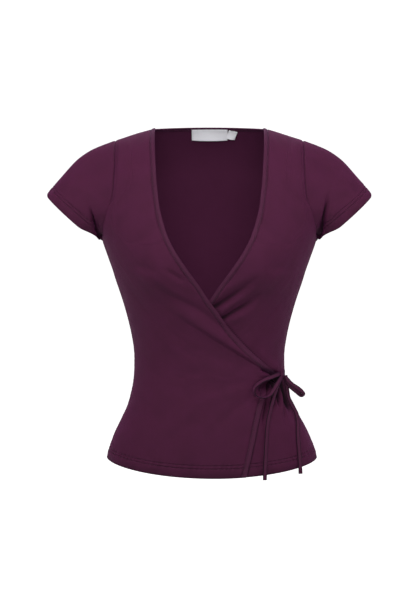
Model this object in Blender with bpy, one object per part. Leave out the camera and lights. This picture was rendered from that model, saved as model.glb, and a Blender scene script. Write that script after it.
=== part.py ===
"""A wrap top in jersey: two crossed fronts tied in a bow at the wearer's left waist, short set-in sleeves.

The cloth stands hollow, as it does on a wearer. Metres, +X to the wearer's left, +Y to the wearer's back,
+Z up. The origin is the middle of the shoulder line, level with the neck points, where the wearer's
shoulders carry it.

Every panel is cut from one body form. A place on the form has an angle round the body, 0 at the wearer's
left side seam, a quarter turn at the middle of the front and a half turn at the right side seam. It also has
a course: 0 at the hem, 1 at the waist, 2 at the underarm and 3 at the shoulder line.
"""

import math
from typing import NamedTuple

import bmesh
import bpy
import numpy as np

# Cloth
CLOTH = 0.0012  # wall of one layer of jersey
HEM_CLOTH = 0.0022  # wall where the hem is turned up
SEAM = 0.0003  # gap between two pieces at a seam
OVERLAP = 0.0034  # from the outer face of the under front to that of the over front
LAP_CHANGE = (-0.05, 0.05)  # across the middle, where each front passes from one layer to the other
SHOWN = (0.0005, 0.0185)  # past the over front's edge, where the under front comes to show its own folds
SUNK = (-0.0100, 0.0)  # before that edge, where the under front begins to sink into its troughs
BAND_WIDTH = 0.0078
BAND_PROUD = 0.0003  # how far a folded band stands out from the panel, on each face

# Heights, from the neck points down
UNDERARM = -0.179
DOME_FOOT = -0.085  # where the chest starts to round over into the shoulder
WAIST = -0.388
HEM_SIDE = -0.5270
HEM_DIP_FRONT = 0.0165  # how much lower the hem hangs in the middle than at the side seams
HEM_DIP_BACK = 0.004
HEM_FOLD = (0.13, 0.16)  # courses between which the turned-up hem ends

# Shoulders and neck
NECK_HALF = 0.086
SHOULDER_SLOPE = 0.33
NECK_ROUND = 0.040  # rounds the shoulder slope off across the neck
NECK_RISE = 0.018  # how far the form climbs towards the neck inside the neck points
RIDGE_Y = 0.004
BACK_NECK_Z = 0.0012
SQUARE = 0.09  # how far the rounds of a section stand out past an ellipse
LEAST_SQUARE = 0.45  # keeps a band from growing too wide where its edge runs nearly level

HEM, TIE, ARM, RIDGE = 0.0, 1.0, 2.0, 3.0  # courses
DOME_COURSE = 2.5
SKIRT_ROWS, BODICE_ROWS, CHEST_ROWS = 8, 18, 9
FRONT_COLUMNS, SHOULDER_COLUMNS, NECK_COLUMNS, BAND_COLUMNS = 24, 6, 12, 2


class Section(NamedTuple):
    """The body form at one level. The skirt swings a little to the left, so its middle moves across."""

    level: float
    middle: float
    half_width: float
    front: float
    back: float


SECTIONS = (
    Section(-0.580, 0.0048, 0.1830, 0.112, 0.112),
    Section(-0.530, 0.0042, 0.1712, 0.108, 0.112),
    Section(-0.490, 0.0036, 0.1567, 0.103, 0.109),
    Section(-0.440, 0.0018, 0.1323, 0.095, 0.098),
    Section(-0.400, 0.0003, 0.1220, 0.089, 0.084),
    Section(-0.363, 0.0000, 0.1204, 0.087, 0.075),
    Section(-0.330, 0.0000, 0.1243, 0.091, 0.074),
    Section(-0.286, 0.0000, 0.1352, 0.100, 0.081),
    Section(-0.234, 0.0000, 0.1515, 0.111, 0.090),
    Section(-0.179, 0.0000, 0.1698, 0.110, 0.097),
    Section(-0.140, 0.0000, 0.1800, 0.102, 0.099),
    Section(-0.090, 0.0000, 0.1870, 0.091, 0.097),
    Section(-0.040, 0.0000, 0.1860, 0.081, 0.090),
    Section(0.000, 0.0000, 0.1840, 0.073, 0.084),
)
WAIST_SECTION = SECTIONS[4]


class Fullness(NamedTuple):
    """Bust fullness of a front, as a soft mound on each side."""

    x: float
    level: float
    spread_x: float
    above: float
    below: float
    height: float


BUST = Fullness(0.086, -0.218, 0.052, 0.070, 0.036, 0.016)
CHEST_LEVEL, CHEST_REACH = -0.130, 0.085
CHEST_FULLNESS = 0.22  # how much flatter the chest's front is than the rest


class EdgePoint(NamedTuple):
    """A point of a cut edge: its course and how far it lies from the middle of the front."""

    course: float
    x: float


# The wrap edge of a front, from the hem up to the tie and across to its own neck point. Positive x is past
# the middle.
WRAP_EDGE = (
    EdgePoint(0.00, 0.0530),
    EdgePoint(0.35, 0.0664),
    EdgePoint(0.55, 0.0741),
    EdgePoint(0.75, 0.0835),
    EdgePoint(0.90, 0.0965),
    EdgePoint(1.00, 0.1110),
    EdgePoint(1.03, 0.1015),
    EdgePoint(1.10, 0.0846),
    EdgePoint(1.20, 0.0634),
    EdgePoint(1.30, 0.0444),
    EdgePoint(1.40, 0.0276),
    EdgePoint(1.50, 0.0135),
    EdgePoint(1.60, -0.0014),
    EdgePoint(1.70, -0.0150),
    EdgePoint(1.80, -0.0300),
    EdgePoint(2.00, -0.0570),
    EdgePoint(2.25, -0.0745),
    EdgePoint(2.50, -0.0815),
    EdgePoint(2.75, -0.0855),
    EdgePoint(3.00, -0.0860),
)

# The armhole seam, from the underarm to the shoulder
ARMHOLE = (
    EdgePoint(2.00, 0.1705),
    EdgePoint(2.12, 0.1680),
    EdgePoint(2.23, 0.1615),
    EdgePoint(2.35, 0.1545),
    EdgePoint(2.50, 0.1500),
    EdgePoint(2.75, 0.1490),
    EdgePoint(3.00, 0.1490),
)


class Fold(NamedTuple):
    """A soft ridge, or a trough where height is negative, along a bowed line seen from the front."""

    x0: float
    z0: float
    x1: float
    z1: float
    bow: float
    width: float
    height: float
    fade_in: float
    fade_out: float
    taper: float = 1.0  # its width at the far end, as a share of that at the start
    crease: float = 0.0  # where its lower side ends in a crease, as a share of its width; 0 if it is soft


OVER_FOLDS = (
    Fold(-0.069, -0.267, 0.087, -0.375, 0.0015, 0.0130, 0.0034, 0.30, 0.10, 0.40, 0.80),
    Fold(-0.078, -0.247, 0.034, -0.322, 0.0070, 0.0060, -0.0024, 0.35, 0.25),
    Fold(-0.092, -0.223, -0.012, -0.280, -0.0012, 0.0065, 0.0020, 0.40, 0.40),
    Fold(-0.072, -0.214, -0.034, -0.238, 0.0008, 0.0045, -0.0022, 0.35, 0.35),
    Fold(-0.130, -0.213, -0.071, -0.225, 0.0047, 0.0070, -0.0015, 0.40, 0.40),
    Fold(-0.100, -0.330, 0.072, -0.392, -0.0060, 0.0120, 0.0012, 0.50, 0.30),
    Fold(-0.050, -0.440, 0.094, -0.398, 0.0040, 0.0100, 0.0012, 0.50, 0.25, 0.6),
    Fold(0.000, -0.470, 0.094, -0.404, 0.0040, 0.0090, -0.0012, 0.50, 0.25, 0.6),
)
UNDER_FOLDS = (
    Fold(-0.002, -0.282, 0.090, -0.215, -0.0024, 0.0050, -0.0046, 0.05, 0.65, 1.3),
    Fold(0.008, -0.290, 0.092, -0.233, 0.0015, 0.0052, 0.0022, 0.10, 0.60, 1.2),
    Fold(0.010, -0.300, 0.099, -0.245, -0.0010, 0.0046, -0.0052, 0.05, 0.65, 1.4),
    Fold(0.016, -0.306, 0.084, -0.274, 0.0006, 0.0070, 0.0022, 0.15, 0.60),
    Fold(0.081, -0.219, 0.142, -0.215, 0.0025, 0.0080, -0.0014, 0.40, 0.40),
    Fold(0.114, -0.394, 0.086, -0.485, -0.0026, 0.0060, -0.0034, 0.12, 0.70, 1.8),
    Fold(0.119, -0.394, 0.114, -0.480, 0.0005, 0.0050, -0.0030, 0.10, 0.70, 1.8),
    Fold(0.122, -0.398, 0.134, -0.490, 0.0018, 0.0040, -0.0030, 0.10, 0.65, 1.8),
)
BACK_FOLDS = (
    Fold(0.105, -0.360, -0.020, -0.395, 0.006, 0.013, 0.0030, 0.3, 0.5),
    Fold(-0.112, -0.372, 0.000, -0.335, -0.005, 0.012, 0.0035, 0.3, 0.6),
    Fold(-0.112, -0.398, -0.030, -0.420, 0.004, 0.013, 0.0030, 0.3, 0.6),
)
FOLD_FREE = 2.7  # course above which no fold reaches the shoulder seam
FOLD_ARCH = 1.3  # power of the round side of a fold that ends in a crease

# Sleeve
SLEEVE_TIP = np.array([0.2580, 0.002, -0.1035])
SLEEVE_UNDER = np.array([0.1780, 0.000, -0.1790])
SLEEVE_HALF_DEPTH = 0.052
SLEEVE_LIFT = 0.0005  # how far the front of the hem rises above the line from tip to underarm
SLEEVE_ROWS = 8
SLEEVE_HEM_CLOTH = 0.0018
SLEEVE_HEM_FOLD = (0.76, 0.87)  # shares of the sleeve's length between which the turned-up hem ends
SLEEVE_TOP_COURSE = 2.4  # above it the lines down the sleeve take the pull of its top


class SleevePull(NamedTuple):
    """How long a line down the sleeve keeps the bodice's direction and then the arm's, as shares of it."""

    bodice: float
    arm: float


PULL_TOP = SleevePull(0.46, 0.50)
PULL_SIDE = SleevePull(0.24, 0.35)


class Crease(NamedTuple):
    """The hollow of a sleeve over the underarm, in rows along it and shares round it from the underarm."""

    depth: float
    start: float
    row: float
    row_width: float
    foot: float
    top: float
    back_share: float


UNDERARM_CREASE = Crease(0.0090, 0.15, 0.45, 0.22, 0.16, 0.48, 0.4)


class Tag(NamedTuple):
    """A cloth tag inside the back neck, its place along and below the neckline."""

    middle: float
    half_width: float
    top: float
    height: float
    tilt: float


NECK_LABEL = Tag(0.0005, 0.0295, 0.0045, 0.0205, 0.0)
SIZE_TAB = Tag(0.0385, 0.0072, 0.0060, 0.0160, 0.10)
TAG_CLOTH = 0.0010
TAG_ROWS, TAG_COLUMNS = 6, 8

# Ties
TIE_WIDTH = 0.0066
TIE_CLOTH = 0.0018
BUNCH_WIDTH = 0.0032  # width and thickness where a tie goes into the knot
BUNCH_CLOTH = 0.0022
BUNCH_LENGTH = 0.009
FLAT_SHARE = 0.8  # share of a tie's width that is flat, the rest is its rounded edges
KNOT = np.array([0.1169, -0.0461, -0.3863])
KNOT_HALF = np.array([0.0040, 0.0042, 0.0052])
FRONT_FACING = np.array([0.50, -0.86, 0.10])  # what the flat of the front loop faces
SIDE_FACING = np.array([0.15, -0.98, 0.10])
TAIL_FACING = np.array([0.35, -0.93, 0.0])


class TiePoint(NamedTuple):
    """A point of a tie's middle line, and by how many degrees the tie is turned there from lying flat."""

    x: float
    y: float
    z: float
    turn: float


FRONT_LOOP = (
    TiePoint(0.1130, -0.0487, -0.3858, 0),
    TiePoint(0.1066, -0.0575, -0.3870, -5),
    TiePoint(0.0975, -0.0668, -0.3893, -20),
    TiePoint(0.0872, -0.0748, -0.3920, -35),
    TiePoint(0.0778, -0.0813, -0.3965, -50),
    TiePoint(0.0708, -0.0864, -0.4032, -70),
    TiePoint(0.0697, -0.0890, -0.4100, -85),
    TiePoint(0.0742, -0.0895, -0.4160, -95),
    TiePoint(0.0822, -0.0875, -0.4186, -105),
    TiePoint(0.0934, -0.0828, -0.4164, -120),
    TiePoint(0.0997, -0.0762, -0.4101, -140),
    TiePoint(0.1050, -0.0685, -0.4027, -160),
    TiePoint(0.1101, -0.0598, -0.3957, -175),
    TiePoint(0.1146, -0.0503, -0.3898, -180),
)
SIDE_LOOP = (
    TiePoint(0.1203, -0.0500, -0.3885, 10),
    TiePoint(0.1237, -0.0512, -0.3954, 5),
    TiePoint(0.1310, -0.0515, -0.4027, 5),
    TiePoint(0.1396, -0.0500, -0.4090, 5),
    TiePoint(0.1467, -0.0475, -0.4148, 20),
    TiePoint(0.1495, -0.0440, -0.4194, 30),
    TiePoint(0.1465, -0.0405, -0.4219, 20),
    TiePoint(0.1396, -0.0400, -0.4173, 5),
    TiePoint(0.1325, -0.0400, -0.4116, 5),
    TiePoint(0.1267, -0.0412, -0.4053, 5),
    TiePoint(0.1230, -0.0445, -0.3974, 10),
    TiePoint(0.1220, -0.0460, -0.3891, 20),
)
FRONT_TAIL = (
    TiePoint(0.1151, -0.0467, -0.3913, 0),
    TiePoint(0.1138, -0.0495, -0.3990, 0),
    TiePoint(0.1108, -0.0575, -0.4090, 0),
    TiePoint(0.1046, -0.0672, -0.4260, 0),
    TiePoint(0.0955, -0.0800, -0.4418, 0),
    TiePoint(0.0920, -0.0850, -0.4566, 0),
    TiePoint(0.0895, -0.0920, -0.4850, 0),
    TiePoint(0.0878, -0.0982, -0.5156, 0),
    TiePoint(0.0870, -0.1010, -0.5341, 0),
    TiePoint(0.0868, -0.1022, -0.5470, 0),
)
SIDE_TAIL = (
    TiePoint(0.1182, -0.0443, -0.3911, 0),
    TiePoint(0.1212, -0.0385, -0.3990, 0),
    TiePoint(0.1230, -0.0330, -0.4080, 0),
    TiePoint(0.1266, -0.0350, -0.4276, 0),
    TiePoint(0.1325, -0.0330, -0.4399, 0),
    TiePoint(0.1388, -0.0345, -0.4520, 0),
    TiePoint(0.1405, -0.0440, -0.4645, 0),
    TiePoint(0.1402, -0.0555, -0.4792, 0),
    TiePoint(0.1418, -0.0672, -0.5060, 0),
    TiePoint(0.1430, -0.0725, -0.5243, 0),
    TiePoint(0.1438, -0.0750, -0.5420, 0),
)
SIDE_STUB = (
    TiePoint(0.1186, -0.0418, -0.3857, 0),
    TiePoint(0.1207, -0.0340, -0.3860, 0),
    TiePoint(0.1226, -0.0230, -0.3865, 0),
    TiePoint(0.1234, -0.0120, -0.3870, 0),
    TiePoint(0.1235, -0.0010, -0.3875, 0),
)

PLUM = (0.060, 0.014, 0.034)
PLUM_EDGE = (0.072, 0.018, 0.042)
LABEL_WHITE = (0.80, 0.80, 0.81)
JERSEY_ROUGHNESS, LABEL_ROUGHNESS = 0.85, 0.7
SHARP_ANGLE = math.radians(40)


def curve_through(at, places, values):
    """A smooth curve through points, read at several places: cubic pieces that share their slopes."""
    places, values, at = (np.asarray(a, float) for a in (places, values, at))
    slopes = np.gradient(values, places)
    i = np.clip(np.searchsorted(places, at) - 1, 0, len(places) - 2)
    span = places[i + 1] - places[i]
    s = np.clip((at - places[i]) / span, 0.0, 1.0)
    start = (1 + 2 * s) * (1 - s) ** 2 * values[i] + s * (1 - s) ** 2 * span * slopes[i]
    end = s * s * (3 - 2 * s) * values[i + 1] - s * s * (1 - s) * span * slopes[i + 1]
    return start + end


def read_table(table, column, at):
    """One column of a table, read smoothly at several places of the table's first column."""
    return curve_through(at, [row[0] for row in table], [getattr(row, column) for row in table])


def smooth(low, high, value):
    """0 below low, 1 above high, and a smooth step between."""
    s = np.clip((value - low) / (high - low), 0.0, 1.0)
    return s * s * (3 - 2 * s)


def bell(value, width):
    """1 at 0, and falling away on both sides within about that width."""
    return np.exp(-((value / width) ** 2))


def unit(vectors):
    """Vectors of length 1."""
    return vectors / np.maximum(np.linalg.norm(vectors, axis=-1, keepdims=True), 1e-12)


def ring(angle):
    """(across, forward) of a section, each from -1 to 1: an ellipse with fuller rounds."""
    c, s = np.cos(angle), np.sin(angle)
    return c * (1 + SQUARE * s * s), s * (1 + SQUARE * c * c)


QUARTER = np.linspace(0.0, math.pi / 2, 200)  # fine steps of a quarter turn, to look angles up in
QUARTER_ACROSS = ring(QUARTER)[0]


def angle_at(across):
    """The angle on the front, 0 to a half turn, where a section lies a share of its half width across."""
    quarter = np.interp(np.abs(across), QUARTER_ACROSS[::-1], QUARTER[::-1])
    return np.where(np.asarray(across) >= 0, quarter, math.pi - quarter)


def shoulder_height(x):
    """Height of the shoulder line over the neck points: a slope that climbs a little more at the neck."""
    slope = SHOULDER_SLOPE * (math.hypot(NECK_HALF, NECK_ROUND) - np.hypot(x, NECK_ROUND))
    return slope + NECK_RISE * np.clip(1 - (x / NECK_HALF) ** 2, 0, 1) ** 1.5


def level_of(course, across, front):
    """Level of a course. From hem to waist it also depends on how low the hem hangs below it."""
    dip = np.where(front, HEM_DIP_FRONT, HEM_DIP_BACK)
    hem = HEM_SIDE - dip * (1 - across**2)
    turn = np.clip((course - DOME_COURSE) / (RIDGE - DOME_COURSE), 0, 1) * math.pi / 2
    skirt = hem + (WAIST - hem) * course
    bodice = WAIST + (UNDERARM - WAIST) * (course - TIE)
    chest = UNDERARM + (DOME_FOOT - UNDERARM) * (course - ARM) / (DOME_COURSE - ARM)
    dome = DOME_FOOT * (1 - np.sin(turn))
    return np.select([course < TIE, course < ARM, course < DOME_COURSE], [skirt, bodice, chest], dome)


def form(angle, course):
    """A point of the body form: its section, drawn in to the shoulder line where the chest rounds over."""
    angle, course = np.broadcast_arrays(np.asarray(angle, float), np.asarray(course, float))
    across, forward = ring(angle)
    level = level_of(course, across, forward >= 0)
    x = read_table(SECTIONS, "middle", level) + read_table(SECTIONS, "half_width", level) * across
    mounds = bell(x - BUST.x, BUST.spread_x) + bell(x + BUST.x, BUST.spread_x)
    off = level - BUST.level
    mounds = mounds * np.where(off > 0, bell(off, BUST.above), bell(off, BUST.below))
    fuller = 1 + CHEST_FULLNESS * bell(level - CHEST_LEVEL, CHEST_REACH) * across**2
    depth_front = read_table(SECTIONS, "front", level) * fuller + BUST.height * mounds
    depth_back = read_table(SECTIONS, "back", level)
    y = -np.where(forward >= 0, depth_front, depth_back) * forward
    dome = np.sqrt(1 - np.clip((level - DOME_FOOT) / -DOME_FOOT, 0, 1) ** 2)
    y = np.where(level < DOME_FOOT, y, RIDGE_Y + (y - RIDGE_Y) * dome)
    chest = np.clip((level - UNDERARM) / -UNDERARM, 0, 1)
    return np.stack([x, y, level + shoulder_height(x) * chest**2], axis=-1)


def slopes_of(angle, course, step=1e-3):
    """How the form's point moves with the angle and with the course."""
    low, high = np.clip(course - step, HEM, RIDGE), np.clip(course + step, HEM, RIDGE)
    along_angle = (form(angle + step, course) - form(angle - step, course)) / (2 * step)
    along_course = (form(angle, high) - form(angle, low)) / (high - low)[..., None]
    return along_angle, along_course


def normal_of(angle, course):
    """The form's outward direction."""
    along_angle, along_course = slopes_of(angle, course)
    return unit(np.cross(along_course, along_angle))


def lower_side(off, crease):
    """A fold's lower side: a bell, or an arch down to a crease at that share of the fold's width."""
    return np.clip(1 - (off / crease) ** 2, 0, 1) ** FOLD_ARCH if crease else bell(off, 1.0)


def fold_height(points, course, folds):
    """How far the folds lift the cloth: each is a bell across its line, and fades in and out along it."""
    x, z = points[..., 0], points[..., 2]
    total = np.zeros_like(x)
    for f in folds:
        run = np.array([f.x1 - f.x0, f.z1 - f.z0])
        long = np.hypot(*run)
        along = ((x - f.x0) * run[0] + (z - f.z0) * run[1]) / long**2
        off = ((z - f.z0) * run[0] - (x - f.x0) * run[1]) / long
        off = off - f.bow * 4 * along * (1 - along)
        fade = smooth(0, f.fade_in, along) * (1 - smooth(1 - f.fade_out, 1, along))
        off = off / (f.width * (1 + (f.taper - 1) * np.clip(along, 0, 1)))
        total += f.height * fade * np.where(off < 0, lower_side(off, f.crease), bell(off, 1.0))
    return total * (1 - smooth(ARM, FOLD_FREE, course))


def wrap_x(course):
    """How far past the middle the over front's wrap edge lies."""
    return read_table(WRAP_EDGE, "x", course)


def over_rise(points, course):
    """The over front lies level with the back at its own side, and on the under front past the middle."""
    return OVERLAP * smooth(*LAP_CHANGE, points[..., 0]) + fold_height(points, course, OVER_FOLDS)


def under_rise(points, course):
    """The under front takes the over front's folds inside it, and shows its own folds past its edge."""
    x = points[..., 0]
    past = x - wrap_x(course)
    shown, sunk = smooth(*SHOWN, past), smooth(*SUNK, past)
    ridges = fold_height(points, course, tuple(f for f in UNDER_FOLDS if f.height > 0))
    troughs = fold_height(points, course, tuple(f for f in UNDER_FOLDS if f.height < 0))
    folds = shown * ridges + sunk * troughs + (1 - shown) * fold_height(points, course, OVER_FOLDS)
    return folds - OVERLAP * (1 - smooth(*LAP_CHANGE, x))


def back_rise(points, course):
    """The back has only its folds."""
    return fold_height(points, course, BACK_FOLDS)


def panel_surface(angle, course, rise):
    """The outer face of a panel: the form, moved out by the panel's rise."""
    angle, course = np.broadcast_arrays(angle, course)
    points = form(angle, course)
    return points + normal_of(angle, course) * rise(points, course)[..., None]


def cloth_at(course):
    """Thickness of the wall: greater in the turned-up hem."""
    return HEM_CLOTH + (CLOTH - HEM_CLOTH) * smooth(*HEM_FOLD, course)


def thicken(points, angle, course, thickness, proud=0.0):
    """(outer, inner) points of a wall whose outer face stands proud of the given points."""
    normal = normal_of(angle, course)
    thickness = np.broadcast_to(thickness, points.shape[:-1])[..., None]
    return points + normal * proud, points - normal * (thickness - proud)


def material(name, colour, roughness):
    """A plain finish."""
    made = bpy.data.materials.get(name) or bpy.data.materials.new(name)
    made.use_nodes = True
    shader = made.node_tree.nodes["Principled BSDF"]
    shader.inputs["Base Color"].default_value = (*colour, 1.0)
    shader.inputs["Roughness"].default_value = roughness
    shader.inputs["Metallic"].default_value = 0.0
    return made


def finish_object(name, bm, finish):
    """The object that holds a finished solid."""
    bmesh.ops.recalc_face_normals(bm, faces=bm.faces)
    mesh = bpy.data.meshes.new(name)
    bm.to_mesh(mesh)
    bm.free()
    mesh.shade_smooth()
    mesh.set_sharp_from_angle(angle=SHARP_ANGLE)
    mesh.materials.append(finish)
    made = bpy.data.objects.new(name, mesh)
    bpy.context.scene.collection.objects.link(made)
    return made


def wall(name, outer, inner, finish, round_about=False):
    """A closed wall between two grids of points, rows by columns. A tube's columns close on themselves."""
    bm = bmesh.new()
    face, lining = [[[bm.verts.new(p) for p in row] for row in grid] for grid in (outer, inner)]
    rows, columns = len(outer), len(outer[0])
    steps = range(columns if round_about else columns - 1)
    for j in steps:
        k = (j + 1) % columns
        for i in range(rows - 1):
            bm.faces.new([face[i][j], face[i][k], face[i + 1][k], face[i + 1][j]])
            bm.faces.new([lining[i][j], lining[i + 1][j], lining[i + 1][k], lining[i][k]])
        bm.faces.new([face[0][j], lining[0][j], lining[0][k], face[0][k]])
        bm.faces.new([face[-1][j], face[-1][k], lining[-1][k], lining[-1][j]])
    if not round_about:
        for i in range(rows - 1):
            bm.faces.new([face[i][0], face[i + 1][0], lining[i + 1][0], lining[i][0]])
            bm.faces.new([face[i][-1], lining[i][-1], lining[i + 1][-1], face[i + 1][-1]])
    return finish_object(name, bm, finish)


def courses():
    """The rows of a panel from hem to shoulder line, with a pair of rows where the turned-up hem ends."""
    skirt = np.linspace(HEM_FOLD[1], TIE, SKIRT_ROWS)
    bodice = np.linspace(TIE, ARM, BODICE_ROWS + 1)[1:]
    chest = np.linspace(ARM, RIDGE, CHEST_ROWS + 1)[1:]
    return np.concatenate([[HEM, HEM_FOLD[0]], skirt, bodice, chest])


COURSES = courses()


def armhole_angle(course):
    """Angle from the side seam to the armhole seam. It is 0 up to the underarm."""
    half_width = read_table(SECTIONS, "half_width", level_of(course, 1.0, True))
    across = read_table(ARMHOLE, "x", course) / half_width
    return np.where(course <= ARM, 0.0, angle_at(np.clip(across, 0, 1)))


def wrap_angle(course):
    """Angle of the over front's wrap edge, found again a few times because the level there hangs on it."""
    across = wrap_x(course) / SECTIONS[0].half_width
    for _ in range(6):
        level = level_of(course, across, True)
        across = np.clip(wrap_x(course) / read_table(SECTIONS, "half_width", level), -1, 1)
    return angle_at(across)


def band_angle(course, width):
    """Angle that a band of that width takes up, measured square to the wrap edge."""
    edge = wrap_angle(course)
    along_edge = unit(np.gradient(form(edge, course), course, axis=0))
    along_angle, _ = slopes_of(edge, course)
    square = np.linalg.norm(np.cross(along_edge, unit(along_angle)), axis=-1)
    return width / (np.maximum(square, LEAST_SQUARE) * np.linalg.norm(along_angle, axis=-1))


def seam_angle(angle, course):
    """Half of a seam's gap, as an angle."""
    return SEAM / 2 / np.linalg.norm(slopes_of(angle, course)[0], axis=-1)


def front(name, rise, mirrored, finish):
    """A front from its side seam to the seam of its band. The under front mirrors the over front."""
    start = math.pi - armhole_angle(COURSES)
    start = start - seam_angle(start, COURSES)
    end = wrap_angle(COURSES) + band_angle(COURSES, BAND_WIDTH + SEAM)
    angle = start[:, None] + (end - start)[:, None] * np.linspace(0, 1, FRONT_COLUMNS + 1)[None, :]
    angle = math.pi - angle if mirrored else angle
    course = np.broadcast_to(COURSES[:, None], angle.shape)
    points = panel_surface(angle, course, rise)
    points[-1, :, 1] -= SEAM / 2
    return wall(name, *thicken(points, angle, course, cloth_at(course)), finish)


def wrap_band(name, rise, mirrored, first, last, finish):
    """The folded band along a stretch of a front's wrap edge, proud of the panel on both faces."""
    rows = (COURSES >= first) & (COURSES <= last)
    edge, width = wrap_angle(COURSES)[rows], band_angle(COURSES, BAND_WIDTH)[rows]
    angle = edge[:, None] + width[:, None] * np.linspace(1, 0, BAND_COLUMNS + 1)[None, :]
    angle = math.pi - angle if mirrored else angle
    course = np.broadcast_to(COURSES[rows][:, None], angle.shape).copy()
    if first == TIE:
        course[0] += SEAM / (UNDERARM - WAIST)
    points = panel_surface(angle, course, rise)
    if last == RIDGE:
        points[-1, :, 1] -= SEAM / 2
    cloth = cloth_at(course) + 2 * BAND_PROUD
    return wall(name, *thicken(points, angle, course, cloth, BAND_PROUD), finish)


def neckline(share, depth):
    """(angle, course) on the back at shares of the way round the neck, -1 to 1, and a depth below the edge.

    The edge is level. A line below it is the same curve, wider at the shoulder and lower in the middle.
    """
    span = np.linspace(ARM, RIDGE, 600)
    level = level_of(span, 0.0, False)
    chest = ((level - UNDERARM) / -UNDERARM) ** 2

    def drop(x):
        height = level + shoulder_height(x) * chest
        return RIDGE - np.interp(min(BACK_NECK_Z * (1 - (x / NECK_HALF) ** 2), height[-1]), height, span)

    deepest = drop(0.0)
    across, down = slopes_of(np.array([-math.pi / 2]), np.array([RIDGE - deepest]))
    deeper = 1 + depth / np.linalg.norm(down[0]) / deepest
    course = RIDGE - np.array([drop(s * NECK_HALF) for s in share]) * deeper
    x = share * (NECK_HALF + depth)
    return -angle_at(x / read_table(SECTIONS, "half_width", level_of(course, 0.0, False))), course


def neck_shares():
    """Shares round the back neck, closer together where it turns into the shoulder line."""
    return np.cos(np.linspace(0, math.pi, NECK_COLUMNS + 1))


def back_grid():
    """(angle, course, points) of the back, from side seam to side seam and up to the neck band's seam."""
    start = armhole_angle(COURSES)
    start = start + seam_angle(-start, COURSES)
    neck_angle, neck_course = neckline(neck_shares(), BAND_WIDTH + SEAM)
    shoulder = np.linspace(-start[-1], neck_angle[0], SHOULDER_COLUMNS + 1)[:-1]
    top_angle = np.concatenate([shoulder, neck_angle, -math.pi - shoulder[::-1]])
    on_ridge = np.full(SHOULDER_COLUMNS, RIDGE)
    top_course = np.concatenate([on_ridge, neck_course, on_ridge])
    share = (-top_angle - start[-1]) / (math.pi - 2 * start[-1])
    angle = -(start[:, None] + (math.pi - 2 * start[:, None]) * share[None, :])
    course = np.broadcast_to(COURSES[:, None], angle.shape)
    reach = (top_course[None, :] - ARM) / (RIDGE - ARM)
    course = np.where(course > ARM, ARM + (course - ARM) * reach, course)
    points = panel_surface(angle, course, back_rise)
    points[-1, top_course > RIDGE - 1e-6, 1] += SEAM / 2
    return angle, course, points


def back(name, finish):
    """The back panel."""
    angle, course, points = back_grid()
    return wall(name, *thicken(points, angle, course, cloth_at(course)), finish)


def neck_band_grid():
    """(angle, course, points) of the band along the back neck, from its seam up to the edge."""
    lines = [neckline(neck_shares(), depth) for depth in (BAND_WIDTH, BAND_WIDTH / 2, 0.0)]
    angle, course = (np.array([line[i] for line in lines]) for i in (0, 1))
    points = panel_surface(angle, course, back_rise)
    points[:, [0, -1], 1] += SEAM / 2
    return angle, course, points


def neck_band(name, finish):
    """The folded band along the back neck, from shoulder seam to shoulder seam."""
    angle, course, points = neck_band_grid()
    outer, inner = thicken(points, angle, course, CLOTH + 2 * BAND_PROUD, BAND_PROUD)
    return wall(name, outer, inner, finish)


def tag(name, shape, finish):
    """A cloth tag inside the back neck, made from the points of the back and its band, moved in."""
    columns = slice(SHOULDER_COLUMNS, SHOULDER_COLUMNS + NECK_COLUMNS + 1)
    (angle, course, points), (band_angles, band_courses, band_points) = back_grid(), neck_band_grid()
    points = np.concatenate([points[:, columns], band_points[1:]])[::-1]
    angle = np.concatenate([angle[:, columns], band_angles[1:]])[::-1]
    course = np.concatenate([course[:, columns], band_courses[1:]])[::-1]
    points = points - normal_of(angle, course) * (CLOTH + BAND_PROUD + SEAM)
    normal = normal_of(angle, course)
    across = np.linspace(-1, 1, TAG_COLUMNS + 1)
    outer, lining = [], []
    for a in across:
        share = (shape.middle + shape.half_width * a) / (NECK_HALF + BAND_WIDTH)
        place = np.interp(-share, -neck_shares(), np.arange(NECK_COLUMNS + 1))
        left = min(int(place), NECK_COLUMNS - 1)
        part = place - left
        line = (1 - part) * points[:, left] + part * points[:, left + 1]
        out = (1 - part) * normal[:, left] + part * normal[:, left + 1]
        run = np.concatenate([[0], np.cumsum(np.linalg.norm(np.diff(line, axis=0), axis=1))])
        down = shape.height * np.linspace(1, 0, TAG_ROWS + 1)
        down = down + shape.top - shape.tilt * a * shape.half_width
        hung = np.stack([np.interp(down, run, line[:, i]) for i in range(3)], axis=-1)
        hung_out = unit(np.stack([np.interp(down, run, out[:, i]) for i in range(3)], axis=-1))
        outer.append(hung)
        lining.append(hung - hung_out * TAG_CLOTH)
    return wall(name, np.moveaxis(outer, 0, 1), np.moveaxis(lining, 0, 1), finish)


def armhole_loop():
    """Points, outward directions and courses round the left armhole, from the underarm by the front."""
    chest = COURSES[COURSES >= ARM]
    angle = armhole_angle(chest)
    sides = []
    for side in (1, -1):
        at = side * (angle + seam_angle(side * angle, chest))
        points = form(at, chest)
        points[-1, 1] -= side * SEAM / 2
        sides.append((points, normal_of(at, chest)))
    (front_points, front_normals), (back_points, back_normals) = sides
    ends = [(front_points[i] + back_points[i]) / 2 for i in (0, -1)]
    end_normals = [unit(front_normals[i] + back_normals[i]) for i in (0, -1)]
    points = np.concatenate([[ends[0]], front_points[1:-1], [ends[1]], back_points[-2:0:-1]])
    normals = np.concatenate(
        [[end_normals[0]], front_normals[1:-1], [end_normals[1]], back_normals[-2:0:-1]]
    )
    return points, normals, np.concatenate([chest, chest[-2:0:-1]])


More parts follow.
